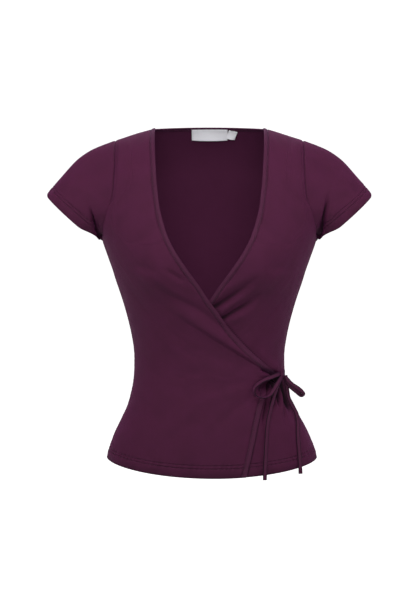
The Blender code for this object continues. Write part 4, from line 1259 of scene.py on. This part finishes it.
@dataclass
class BackPanel(Panel):
    """The back, in one piece from side seam to side seam, up to the neck band's seam."""

    shoulder_columns: int = 34
    neck_columns: int = 90
    cut = (0.52, 0.62)
    sewn_to = ("front_over", "front_under")

    def patch(self) -> Patch:
        """The outer face: every row spans the back, and those above the underarm bend to the neckline."""
        start = self.form.armhole_angle(COURSES)
        neck_share = np.cos(np.linspace(0, math.pi, self.neck_columns + 1))
        neck_angle, neck_course = self.form.neckline(neck_share, np.full(neck_share.shape, BAND_WIDTH))
        span = math.pi - 2 * start[-1]
        reach = (-neck_angle[0] - start[-1]) / span
        near = np.array([0, 0.0012, 0.003, 0.006, 0.010, 0.016])  # closer together beside the side seam
        even = np.linspace(near[-1], reach, self.shoulder_columns - len(near) + 2)[1:-1]
        shoulder = np.concatenate([near, even])
        neck = (-neck_angle - start[-1]) / span
        share = np.concatenate([shoulder, neck, 1 - shoulder[::-1]])
        on_ridge = np.full(len(shoulder), RIDGE)
        top = np.concatenate([on_ridge, neck_course, on_ridge])
        power = give_way(COURSES)[:, None]
        angle = -math.pi * share[None, :] - start[:, None] * ((1 - share) ** power - share**power)
        course = np.broadcast_to(COURSES[:, None], angle.shape)
        bent = ARM + (course - ARM) * (top[None, :] - ARM) / (RIDGE - ARM)
        course = np.where(course > ARM, bent, course)
        points, normals = self.form.face(angle, course)
        grain = self.form.grain(angle, course, -math.pi / 2)
        return Patch(points + normals * self.rise(points, course)[..., None], normals, grain=grain)


BAND_STEPS = steps((0, 0.9, 5), (0.9, 5.4, 6), (5.4, 7.4, 8), (7.4, 7.8, 1)) * MM
BAND_STITCH = 6.4 * MM
BAND_GROOVE = 0.6  # how deep its stitches lie along the wrap edge, against those of a hem


@dataclass
class EdgeBand:
    """The folded band along a stretch of a front's wrap edge, proud of the panel on both faces."""

    name: str
    node: str
    form: BodyForm
    rise: Rise
    mirrored: bool
    first: float
    last: float

    def patch(self) -> tuple[Patch, Array]:
        """The outer face, from the free edge to the band's seam, and the courses of its rows."""
        near = 1e-9
        keep = (COURSES >= self.first - near) & (COURSES <= self.last + near)
        rows = COURSES[keep]
        edge = self.form.wrap_angle(COURSES)
        width = self.form.band_angle(COURSES, 1.0)
        angle = edge[keep][:, None] + width[keep][:, None] * BAND_STEPS[None, :]
        angle = math.pi - angle if self.mirrored else angle
        course = np.broadcast_to(rows[:, None], angle.shape)
        points, normals = self.form.face(angle, course)
        outer = points + normals * (self.rise(points, course) + BAND_PROUD)[..., None]
        return Patch(outer, normals), rows

    def build(self, stitches: Topstitch) -> bpy.types.Object:
        """The band, with one line of stitching near its seam."""
        patch, rows = self.patch()
        away = np.broadcast_to(BAND_STEPS[None, :], patch.points.shape[:2])
        relief = BAND_GROOVE * groove(away, (BAND_STITCH,))
        relief = relief + pucker(patch.along, away - BAND_STITCH, BAND_PUCKER)
        edges = {
            Side.FIRST_COLUMN: Edge.FOLDED,
            Side.LAST_COLUMN: Edge.FLAT_SEAM,
            Side.FIRST_ROW: Edge.FOLDED if self.first == HEM else Edge.BUTTED,
            Side.LAST_ROW: Edge.SEAM if self.last == RIDGE else Edge.BUTTED,
        }
        thickness = hem_cloth(rows)[:, None] + 2 * BAND_PROUD
        piece = cloth_wall(self.name, patch, thickness, edges, relief, BAND_JERSEY, through=True)
        stitched = patch.moved(relief)
        column = nearest(BAND_STEPS, BAND_STITCH)
        stitches.add(stitched.points[:, column], stitched.normals[:, column])
        if self.first == HEM:
            self.corner_box(stitched, stitches)
        return set_on(piece, "jersey_edge", self.node)

    def corner_box(self, patch: Patch, stitches: Topstitch) -> None:
        """Stitches a small box that holds the band's end at the hem corner."""
        bottom, top, inset = 2.2 * MM, 15.5 * MM, 1.6 * MM
        low, high = (nearest(patch.along[:, 0], at) for at in (bottom, top))
        near, far = (nearest(BAND_STEPS, at) for at in (inset, BAND_STITCH))
        for row in (low, high):
            stitches.add(patch.points[row, near : far + 1], patch.normals[row, near : far + 1])
        stitches.add(patch.points[low : high + 1, near], patch.normals[low : high + 1, near])


@dataclass
class NeckBand:
    """The folded band along the back neck, from shoulder seam to shoulder seam."""

    form: BodyForm
    rise: Rise
    columns: int = 90
    lean: float = 2.2 * MM  # how far its free edge leans towards the neck
    inner_proud: float = 0.9 * MM

    def build(self, stitches: Topstitch) -> bpy.types.Object:
        """The band: lines at set depths below the neckline, with one line of stitching near its seam.

        It leans in by the square of the share of its width above its seam.
        """
        share = np.cos(np.linspace(0, math.pi, self.columns + 1))
        depth = BAND_STEPS[::-1, None]
        grids = np.broadcast_arrays(share[None, :], depth)
        angle, course = self.form.neckline(*grids)
        points, normals = self.form.face(angle, course)
        height = self.rise(points, course) + BAND_PROUD - self.lean * (1 - grids[1] / BAND_WIDTH) ** 2
        patch = Patch(points + normals * height[..., None], normals)
        relief = groove(grids[1], (BAND_STITCH,)) + pucker(patch.across, grids[1] - BAND_STITCH, BAND_PUCKER)
        edges = dict(zip(Side, (Edge.SEAM, Edge.FOLDED, Edge.SEAM, Edge.SEAM)))
        thickness = CLOTH + BAND_PROUD + self.inner_proud
        name = "neck_band_back_jersey"
        piece = cloth_wall(name, patch, thickness, edges, relief, BAND_JERSEY, through=True)
        stitches.add_rows(patch.moved(relief), BAND_STEPS[::-1], (BAND_STITCH,))
        return set_on(piece, "jersey_edge", "neck_band_back")


@dataclass
class SetInSleeve:
    """A short set-in sleeve. Each line runs down it as a bend from the bodice's slope to the arm's."""

    name: str
    node: str
    form: BodyForm
    side: int  # 1 at the wearer's left, -1 at the right
    creases: tuple[Fold, ...]
    tip: tuple[float, float, float] = (0.2580, 0.002, -0.1035)
    under: tuple[float, float, float] = (0.1738, 0.000, -0.1790)
    half_depth: float = 0.052
    hem_sweep: tuple[float, float] = (-2.8 * MM, 3.0 * MM)  # how far the hem's front hangs, low and high up
    sweep_change: tuple[float, float] = (0.22, 0.42)  # shares of the way up the hem's front between the two
    sweep_free: tuple[float, float] = (0.12, 0.85)  # between these shares it is full
    top_course: float = 2.4
    pull_top: tuple[float, float] = (0.46, 0.50)  # shares of a line that keep the bodice's and the arm's way
    pull_side: tuple[float, float] = (0.24, 0.35)
    crease_depth: float = 0.0040
    crease_start: float = 0.15
    crease_row: float = 0.45
    crease_row_width: float = 0.22
    crease_foot: float = 0.16
    crease_top: float = 0.48
    crease_back: float = 0.4
    front: tuple[float, float] = (0.012, -0.004)  # y between which the creases of the front fade in
    seam_free: float = 0.12  # share of a line from the seam to where they are full
    blend: float = 0.08  # share of a line over which it leaves the bodice's outward direction
    cloth: float = 1.0 * MM
    hem_cloth: float = 1.7 * MM
    lean: float = 0.5  # how far its hem leans in, against those of the body
    cut: tuple[float, float] = (0.42, 0.19)

    def armhole(self) -> tuple[Array, Array, Array]:
        """Points, outward directions and courses round the armhole, from the underarm by the front."""
        chest = COURSES[COURSES >= ARM]
        angle = self.form.armhole_angle(chest)
        sides = [(self.form.point(s * angle, chest), self.form.normal(s * angle, chest)) for s in (1, -1)]
        (front, front_out), (back, back_out) = sides
        ends = [(front[i] + back[i]) / 2 for i in (0, -1)]
        ends_out = [unit(front_out[i] + back_out[i]) for i in (0, -1)]
        points = np.concatenate([[ends[0]], front[1:-1], [ends[1]], back[-2:0:-1]])
        normals = np.concatenate([[ends_out[0]], front_out[1:-1], [ends_out[1]], back_out[-2:0:-1]])
        return points, normals, np.concatenate([chest, chest[-2:0:-1]])

    def hem(self, seam: Array) -> tuple[Array, Array, Array]:
        """The hem: an oval, met by each line down the sleeve at the same share of the way round.

        Args:
            seam: Points round the armhole.

        Returns:
            Points round the hem, the arm's direction, and each line's share of the way from underarm to top.
        """
        tip, under = np.array(self.tip), np.array(self.under)
        half = len(seam) // 2
        gaps = np.linalg.norm(np.roll(seam, -1, axis=0) - seam, axis=1)
        share = np.concatenate([[0], np.cumsum(gaps[:half]) / gaps[:half].sum()])
        share = np.concatenate([share, share[-2:0:-1]])
        turn = (share - 0.5) * math.pi
        facing = np.concatenate([np.full(half + 1, -1.0), np.full(half - 1, 1.0)])
        arm = unit(np.cross([0.0, 1.0, 0.0], (tip - under) / 2))
        points = (tip + under) / 2 + np.sin(turn)[:, None] * (tip - under) / 2
        points[:, 1] += facing * self.half_depth * np.cos(turn)
        (low, high), (full, free) = self.hem_sweep, self.sweep_free
        sweep = low + (high - low) * smooth(*self.sweep_change, share)
        sweep = sweep * smooth(0, full, share) * smooth(1, free, share)
        points += arm * (sweep * (facing < 0))[:, None]
        return points, arm, share

    def rows(self, length: Array, pull_arm: Array) -> tuple[Array, Array]:
        """Places of the rows on each line, as shares of it, and how far from the hem each lies.

        Rows are close together at the hem's edge and its stitching, and at the armhole seam. On a line too
        short for them they draw together.

        Args:
            length: Length of each line.
            pull_arm: Share of each line that keeps the arm's way, which sets how fast it runs at the hem.

        Returns:
            Shares, a row for each row, and the distances from the hem in metres.
        """
        most, seam_speed, between, stitched_rows = 0.7, 1.1, 32, 20
        hem, seam = hem_steps(stitched_rows), np.array(SEAM_STEPS)
        squeeze = np.minimum(1.0, most * length / (hem[-1] + seam[-1]))
        from_hem = 1 - hem[:, None] * squeeze / (length * 3 * pull_arm)
        from_seam = seam[:, None] * squeeze / (length * seam_speed)
        step = np.linspace(0, 1, between + 2)[1:-1, None]
        middle = from_seam[-1] + (from_hem[-1] - from_seam[-1]) * step
        away = np.concatenate([np.full(len(seam) + len(step), 1.0), hem[::-1]])
        return np.concatenate([from_seam, middle, from_hem[::-1]]), away

    def patch(self) -> tuple[Patch, Array]:
        """The outer face, armhole seam first, and how far from the hem each row lies."""
        seam, seam_out, course = self.armhole()
        hem, arm, share = self.hem(seam)
        outward = unit(np.cross(unit(np.roll(seam, -1, axis=0) - np.roll(seam, 1, axis=0)), seam_out))
        length = np.linalg.norm(hem - seam, axis=1, keepdims=True)
        keep = smooth(ARM, RIDGE, course)[:, None]
        lead = unit(outward * keep + unit(hem - seam) * (1 - keep))
        top = smooth(self.top_course, RIDGE, course)[:, None]
        pulls = zip(self.pull_side, self.pull_top)
        pull_bodice, pull_arm = (low + (high - low) * top for low, high in pulls)
        bend_1, bend_2 = seam + lead * length * pull_bodice, hem - arm * length * pull_arm
        at, away = self.rows(length[:, 0], pull_arm[:, 0])
        row = at[..., None]
        grid = (1 - row) ** 3 * seam + 3 * row * (1 - row) ** 2 * bend_1
        grid = grid + 3 * row**2 * (1 - row) * bend_2 + row**3 * hem
        grid = grid - self.normals(grid) * self.crease(at, share)[..., None]
        front = smooth(*self.front, grid[..., 1]) * smooth(0, self.seam_free, at)
        lift = Drape(self.form).folds(grid, np.full(at.shape, ARM), self.creases) * front
        grid = grid + self.normals(grid) * lift[..., None]
        normals = self.normals(grid)
        blend = bell(at, self.blend)[..., None]
        normals = unit(normals * (1 - blend) + seam_out * blend)
        mirror = np.array([self.side, 1.0, 1.0])
        # The creases' lift also sets painted shade in the deep ones.
        patch = Patch(grid * mirror, normals * mirror, around=True, lift=lift)
        top = len(seam) // 2
        from_top = patch.across - patch.across[:, top : top + 1]
        patch.grain = np.stack([from_top, patch.closing(patch.along)], axis=-1)
        return patch, away

    def crease(self, at: Array, share: Array) -> Array:
        """Depth of the hollow over the underarm: a bell along the sleeve, a soft step up from its foot."""
        along = bell(at - self.crease_row, self.crease_row_width) * smooth(0, self.crease_start, at)
        about = smooth(0, self.crease_foot, share) * (1 - smooth(self.crease_foot, self.crease_top, share))
        about[len(about) // 2 :] *= self.crease_back
        return self.crease_depth * along * about

    @staticmethod
    def normals(grid: Array) -> Array:
        """Outward directions of a tube's points: down it crossed with round it."""
        down = np.gradient(grid, axis=0)
        about = np.roll(grid, -1, axis=1) - np.roll(grid, 1, axis=1)
        return unit(np.cross(down, about))

    def build(self, stitches: Topstitch) -> None:
        """The sleeve, with its hem turned up and stitched twice."""
        patch, away = self.patch()
        from_hem = np.broadcast_to(away[:, None], patch.points.shape[:2])
        relief = groove(from_hem, TWIN_LINES) + self.lean * tuck(from_hem) + ease(patch)
        relief = relief + pucker(patch.across[:, :-1], patch.along, SLEEVE_PUCKER)
        edges = {Side.FIRST_ROW: Edge.SEAM, Side.LAST_ROW: Edge.FOLDED}
        turned = 1 - smooth(*TURNED_UP, from_hem)
        thickness = self.cloth + (self.hem_cloth - self.cloth) * turned
        piece = cloth_wall(self.name, patch, thickness, edges, relief, JERSEY, reverse=JERSEY_INSIDE_SHADED)
        stitches.add_rows(patch.moved(relief), away, TWIN_LINES)
        set_on(piece, "jersey", self.node)
        state_sheet(patch, self.cut)


@dataclass
class WovenTag:
    """A cloth tag inside the back neck. It is bare."""

    name: str
    node: str
    form: BodyForm
    middle: float
    half_width: float
    top: float
    height: float
    tilt: float
    stand_off: float = 3.2 * MM  # how far its lower edge stands off the back
    inset: float = CLOTH + 0.9 * MM
    thickness: float = 0.7 * MM
    stitched: float = 1.6 * MM  # from each end to its line of stitching

    def build(self, stitches: Topstitch) -> None:
        """The tag: the back's own surface at those depths, moved in, with its ends stitched down.

        It stands off by a power of the share of the way down, most at the middle of its lower edge.
        """
        rows, columns, power, dent, dent_width = 26, 60, 1.5, 0.2 * MM, 0.02
        across = np.linspace(-1, 1, columns + 1)[None, :]
        down = np.linspace(1, 0, rows + 1)[:, None]
        depth = self.top + self.tilt * across * self.half_width + self.height * down
        share = self.middle + self.half_width * across - self.tilt * self.height * down
        share = share / (self.form.neck_half + depth)
        angle, course = self.form.neckline(share, depth)
        normals = -self.form.normal(angle, course)
        sag = self.stand_off * down**power * (1 - across**2 / 2)
        points = self.form.point(angle, course) + normals * (self.inset + self.thickness + sag)[..., None]
        patch = Patch(points, normals)
        ends = (self.half_width - self.stitched) / self.half_width
        dents = bell(across - ends, dent_width) + bell(across + ends, dent_width)
        relief = np.broadcast_to(-dent * dents, share.shape)
        edges = dict.fromkeys(Side, Edge.FOLDED)
        piece = cloth_wall(self.name, patch, self.thickness, edges, relief, LABEL_SATIN)
        stitched = patch.moved(relief)
        for at in (-ends, ends):
            column = nearest(across[0], at)
            stitches.add(stitched.points[1:-1, column], stitched.normals[1:-1, column])
        state_sheet(patch, (2 * self.half_width, self.height))
        set_on(piece, "label", self.node)


WAIST_ROW = 4  # of the sections


def body_facing(points: Array) -> Array:
    """Level outward direction from the middle of the body: the slope of an oval of the waist's size."""
    waist = SECTIONS[WAIST_ROW]
    return unit(points * np.array([1 / waist.half_width**2, 1 / waist.front**2, 0.0]))


class TieEnd(Enum):
    """What a tie does at its far end."""

    KNOT = "goes back into the knot"
    CUT = "ends free"
    SEWN = "is sewn into the side seam"


@dataclass
class Tie:
    """A flat tie of turned jersey along its route, bunched where it goes into the knot."""

    name: str
    node: str
    route: tuple[TiePoint, ...]
    far_end: TieEnd
    facing: tuple[float, float, float] | None = None  # the way its flat faces; None is away from the body
    width: float = 6.6 * MM
    cloth: float = 1.8 * MM
    bunch_width: float = 3.2 * MM
    bunch_cloth: float = 2.2 * MM
    bunch_length: float = 9 * MM
    edge_painted_shade: float = 1.0  # painted shade along its edges, at most
    edge_reach: float = 0.32  # share of its half width that the painted shade spans
    flatness: tuple[float, float] = (0.55, 0.75)  # powers of the section's cosine and sine
    pressed_at: float = 0.62  # share of its half width where the pressed line runs
    pressed_width: float = 0.12
    pressed_depth: float = 0.28  # share of its thickness
    ripple: float = 0.05
    ripple_pitch: float = 23 * MM
    end_round: float = 1.2 * MM
    end_least: float = 0.05
    sides: int = 28

    def centre(self) -> tuple[Array, Array, Array]:
        """The middle line: points a millimetre apart, their run from the start, and the turn at each."""
        places = np.array([row[:3] for row in self.route])
        chord = run_of(places)
        at = np.linspace(0, chord[-1], int(chord[-1] / MM) + 1)
        points = np.stack([curve_through(at, chord, places[:, i]) for i in range(3)], axis=-1)
        turn = curve_through(at, chord, np.radians([row.turn for row in self.route]))
        return points, at, turn

    def build(self) -> bpy.types.Object:
        """The tie: a flat rounded section carried along its middle line.

        The section's width follows a cosine and its thickness a sine, each raised to a power under 1, so
        that both faces are flat and the edges are round. A pressed line runs down near one edge.
        """
        points, at, turn = self.centre()
        ahead = unit(np.gradient(points, axis=0))
        facing = body_facing(points) if self.facing is None else np.array(self.facing)
        flat = unit(np.cross(ahead, facing))
        width = unit(np.cos(turn)[:, None] * flat + np.sin(turn)[:, None] * np.cross(flat, ahead))
        through = unit(np.cross(ahead, width))
        loose = smooth(0, self.bunch_length, at)
        if self.far_end is TieEnd.KNOT:
            loose = loose * smooth(0, self.bunch_length, at[-1] - at)
        end = np.ones_like(at)
        if self.far_end is TieEnd.CUT:
            end = rounded(at[-1] - at, self.end_round, self.end_least)
        half_width = (self.bunch_width + (self.width - self.bunch_width) * loose) / 2
        half_cloth = (self.bunch_cloth + (self.cloth - self.bunch_cloth) * loose) / 2 * end
        phase = full_turn(self.sides)
        c, s = np.cos(phase), np.sin(phase)
        by_width, by_cloth = self.flatness
        wide, thick = np.sign(c) * np.abs(c) ** by_width, np.sign(s) * np.abs(s) ** by_cloth
        pressed = 1 - self.pressed_depth * bell(wide - self.pressed_at, self.pressed_width)
        ripple = 1 + self.ripple * np.sin(2 * math.pi * at / self.ripple_pitch) * loose
        across = (half_width * ripple)[:, None] * wide[None, :]
        deep = half_cloth[:, None] * (thick * pressed)[None, :]
        grid = points[:, None] + width[:, None] * across[..., None] + through[:, None] * deep[..., None]
        # Painted shade along the tie's edges.
        rim = np.broadcast_to(self.edge_painted_shade * bell(1 - np.abs(wide), self.edge_reach), deep.shape)
        piece = tube(self.name, grid, at, BAND_JERSEY, rim)
        return set_on(piece, "jersey_edge", self.node)


def tube(name: str, grid: Array, run: Array, finish: Finish, painted_shade: Array) -> bpy.types.Object:
    """A closed tube through rings of points, with a point in the middle of each end.

    Args:
        name: Name of the piece.
        grid: Rings of points, rings by points round by 3.
        run: Distance of each ring along the tube.
        finish: Its finish.
        painted_shade: Share of painted shade at each point of the rings.

    Returns:
        The object, facing outwards.
    """
    rings, sides = grid.shape[:2]
    faces, corners = quads_of(rings, sides, True)
    about = np.linalg.norm(np.roll(grid, -1, axis=1) - grid, axis=-1)
    around = np.concatenate([np.zeros((rings, 1)), np.cumsum(about, axis=1)], axis=1)
    uv_grid = np.stack(np.broadcast_arrays(around, run[:, None]), axis=-1).reshape(-1, 2)
    split = np.array([[0, 1, 2], [0, 2, 3]])
    triangles = faces[:, split].reshape(-1, 3)
    uv = uv_grid[corners[:, split].reshape(-1, 3)]
    j = np.arange(sides)
    k, last, pole = (j + 1) % sides, (rings - 1) * sides, np.full(sides, rings * sides)
    start, end = np.stack([pole, k, j], axis=-1), np.stack([pole + 1, last + j, last + k], axis=-1)
    ends = np.concatenate([start, end])
    points = np.concatenate([grid.reshape(-1, 3), grid[[0, -1]].mean(axis=1)])
    end_uv = np.zeros((len(ends), 3, 2))
    end_uv[:, :, 0] = (ends % sides) * about.mean()
    painted_dark = np.concatenate([painted_shade.reshape(-1), [0.0, 0.0]])
    faces = np.concatenate([triangles, ends])
    return turn_outwards(mesh_object(name, points, faces, np.concatenate([uv, end_uv]), finish, painted_dark))


@dataclass
class BowKnot:
    """The knot: a short band of tie wrapped over the crossing, with creases that slant round it."""

    middle: tuple[float, float, float] = (0.1145, -0.0480, -0.3868)
    half: tuple[float, float, float] = (4.0 * MM, 5.8 * MM, 7.0 * MM)
    creases: int = 3
    slant: float = 3.2
    crease_depth: float = 0.085
    crease_power: int = 6  # the higher, the narrower its creases
    painted_dark: float = 0.5  # how much painted shade lies in its creases, at most
    painted_dark_power: int = 8
    waist: float = 0.05
    pole: float = 0.04  # angle from the egg's own pole to its first ring
    rings: int = 41
    sides: int = 72

    def build(self) -> None:
        """An egg drawn in by slanting creases: a wave raised to a power at each, less towards the poles."""
        tilt = np.linspace(self.pole, math.pi - self.pole, self.rings)[:, None]
        turn = full_turn(self.sides)[None, :]
        wave = (1 - np.sin(self.creases * turn + self.slant * np.cos(tilt))) / 2
        radius = 1 - self.crease_depth * wave**self.crease_power * np.sin(tilt)
        radius = radius * (1 + self.waist * np.cos(2 * tilt))
        level, height = radius * np.sin(tilt), np.broadcast_to(radius * np.cos(tilt), wave.shape)
        egg = np.stack([level * np.cos(turn), level * np.sin(turn), height], axis=-1)
        grid = np.array(self.middle) + egg * np.array(self.half)
        run = np.linspace(0, math.pi * self.half[2], self.rings)
        # Painted shade in the knot's creases.
        piece = tube("tie_knot_jersey", grid, run, BAND_JERSEY, self.painted_dark * wave**self.painted_dark_power)
        set_on(piece, "jersey_edge", "tie_knot")


# ---- Camera, lights and stage ----


@dataclass
class Studio:
    """A white sweep, big soft lights and the camera."""

    image: tuple[int, int] = (416, 607)
    distance: float = 3.2
    pitch: float = math.radians(6)
    aim: tuple[float, float, float] = (-0.0021, 0.0, -0.2798)
    focal_pixels: float = 2000.0
    sensor: float = 36.0
    floor: float = -0.95
    floor_radius: float = 40.0
    chest: tuple[float, float, float] = (0.0, -0.08, -0.15)
    box_size: float = 0.9
    room: float = 0.13  # brightness of the white room around

    @staticmethod
    def stand(name: str, data: bpy.types.ID, aim: Vector, way: Vector, far: float) -> bpy.types.Object:
        """Stands a camera or a light that far from its aim, which it faces."""
        made = link(name, data)
        turned = way.to_track_quat("Z", "Y").to_matrix().to_4x4()
        made.matrix_world = Matrix.Translation(aim + way * far) @ turned
        return made

    def camera(self) -> None:
        """The camera: a long lens a little above the top, looking at its middle."""
        data = bpy.data.cameras.new("camera")
        data.sensor_width = self.sensor
        data.lens = self.focal_pixels * self.sensor / max(self.image)
        back = Vector((0.0, -math.cos(self.pitch), math.sin(self.pitch)))
        bpy.context.scene.camera = self.stand("camera", data, Vector(self.aim), back, self.distance)

    def softbox(self, name: str, azimuth: float, elevation: float, distance: float, power: float) -> None:
        """A square soft light that faces the chest.

        Args:
            name: Its name.
            azimuth: Degrees to the wearer's left from straight in front.
            elevation: Degrees above level.
            distance: Distance from the chest.
            power: Its power in watts.
        """
        data = bpy.data.lights.new(name, "AREA")
        data.shape, data.size, data.energy = "SQUARE", self.box_size, power
        turn, rise = math.radians(azimuth), math.radians(elevation)
        way = Vector((math.sin(turn) * math.cos(rise), -math.cos(turn) * math.cos(rise), math.sin(rise)))
        self.stand(name, data, Vector(self.chest), way, distance)

    def lights(self) -> None:
        """A key from above in front, a low fill, one at each side, one behind, and a white room."""
        self.softbox("key", azimuth=0, elevation=44, distance=1.0, power=9.6)
        self.softbox("fill", azimuth=0, elevation=8, distance=2.2, power=13.0)
        self.softbox("rim_right", azimuth=-75, elevation=20, distance=1.4, power=6.8)
        self.softbox("rim_left", azimuth=75, elevation=20, distance=1.4, power=7.0)
        self.softbox("back", azimuth=180, elevation=48, distance=1.6, power=11.0)
        world = bpy.data.worlds.new("white_room")
        world.use_nodes = True
        tree = world.node_tree
        seen = add_node(tree, "LightPath").outputs["Is Camera Ray"]
        strength = add_node(tree, "Math", {0: seen, 1: 1.0, 2: self.room}, operation="MULTIPLY_ADD")
        background = tree.nodes["Background"]
        background.inputs["Color"].default_value = (1.0, 1.0, 1.0, 1.0)
        tree.links.new(strength.outputs[0], background.inputs["Strength"])
        bpy.context.scene.world = world
        bpy.context.scene.view_settings.view_transform = "Standard"

    def ground(self) -> None:
        """A round white floor. It doesn't throw light up at the cloth."""
        sides = 96
        turn = full_turn(sides)
        rim = np.stack([np.cos(turn), np.sin(turn), np.zeros(sides)], axis=-1) * self.floor_radius
        points = np.concatenate([rim, np.zeros((1, 3))]) + np.array([0.0, 0.0, self.floor])
        j = np.arange(sides)
        faces = np.stack([j, (j + 1) % sides, np.full(sides, sides)], axis=-1)
        made = mesh_object("floor", points, faces, np.zeros((len(faces) * 3, 2)), PAPER)
        made.visible_diffuse = False


# ---- Putting it together ----


def corners(box: tuple[Vector, Vector]) -> list[list[float]]:
    """A box's two corners as plain lists."""
    return [list(corner) for corner in box]


def make_ties() -> None:
    """The cords, two loops and two free ends, then the stretch from the side seam and the knot."""
    cords = (
        Tie("tie_loop_front_jersey", "tie_loop_front", FRONT_LOOP, TieEnd.KNOT, facing=(0.50, -0.86, 0.10)),
        Tie("tie_loop_side_jersey", "tie_loop_side", SIDE_LOOP, TieEnd.KNOT, facing=(0.15, -0.98, 0.10)),
        Tie("tie_tail_front_jersey", "tie_tail_front", FRONT_TAIL, TieEnd.CUT),
        Tie("tie_tail_side_jersey", "tie_tail_side", SIDE_TAIL, TieEnd.CUT, facing=(0.35, -0.93, 0.0)),
    )
    for tie in cords:
        piece = tie.build()
        points, at, _ = tie.centre()
        LOG.info("%s is %.0f mm long", piece.name, at[-1] / MM)
    Tie("tie_side_jersey", "tie_side", SIDE_STUB, TieEnd.SEWN).build()
    BowKnot().build()


def main() -> None:
    """Builds the top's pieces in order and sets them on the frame."""
    logging.basicConfig(level=logging.INFO, format="%(name)s %(message)s")
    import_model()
    studio = Studio()
    studio.camera()
    make_ties()
    form = BodyForm()
    drape = Drape(form)
    hem_stitches, edge_stitches = Topstitch("hem_stitches"), Topstitch("edge_stitches")
    label_stitches = Topstitch("label_stitches", pitch=2.2 * MM, length=1.7 * MM, thickness=0.3 * MM)
    neck_band = NeckBand(form, drape.back).build(edge_stitches)
    BackPanel("back_jersey", "back_panel", form, drape.back).build(hem_stitches, (neck_band,))
    for front, rise, mirrored in (("over", drape.over, False), ("under", drape.under, True)):
        neck, skirt, panel = f"neck_band_{front}", f"skirt_edge_{front}", f"front_{front}"
        bands = (
            EdgeBand(f"{neck}_jersey", neck, form, rise, mirrored, TIE, RIDGE).build(edge_stitches),
            EdgeBand(f"{skirt}_jersey", skirt, form, rise, mirrored, HEM, TIE).build(edge_stitches),
        )
        FrontPanel(f"{panel}_jersey", panel, form, rise, mirrored).build(hem_stitches, bands)
    for side, sign, creases in (("left", 1, LEFT_SLEEVE_FOLDS), ("right", -1, RIGHT_SLEEVE_FOLDS)):
        sleeve = f"sleeve_{side}"
        SetInSleeve(f"{sleeve}_jersey", sleeve, form, sign, creases).build(hem_stitches)
    tags = (
        WovenTag(
            "neck_label_satin", "neck_label", form,
            middle=0.0005, half_width=0.0295, top=0.0045, height=0.0205, tilt=0.0,
        ),
        WovenTag(
            "size_tab_satin", "size_tab", form,
            middle=0.0392, half_width=0.0070, top=0.0075, height=0.0150, tilt=0.28,
        ),
    )
    for tag in tags:
        tag.build(label_stitches)
    set_on(hem_stitches.build(THREAD), "jersey_edge")
    set_on(edge_stitches.build(THREAD), "jersey_edge")
    set_on(label_stitches.build(LABEL_THREAD), "label")
    studio.lights()
    studio.ground()


if __name__ == "__main__":
    main()
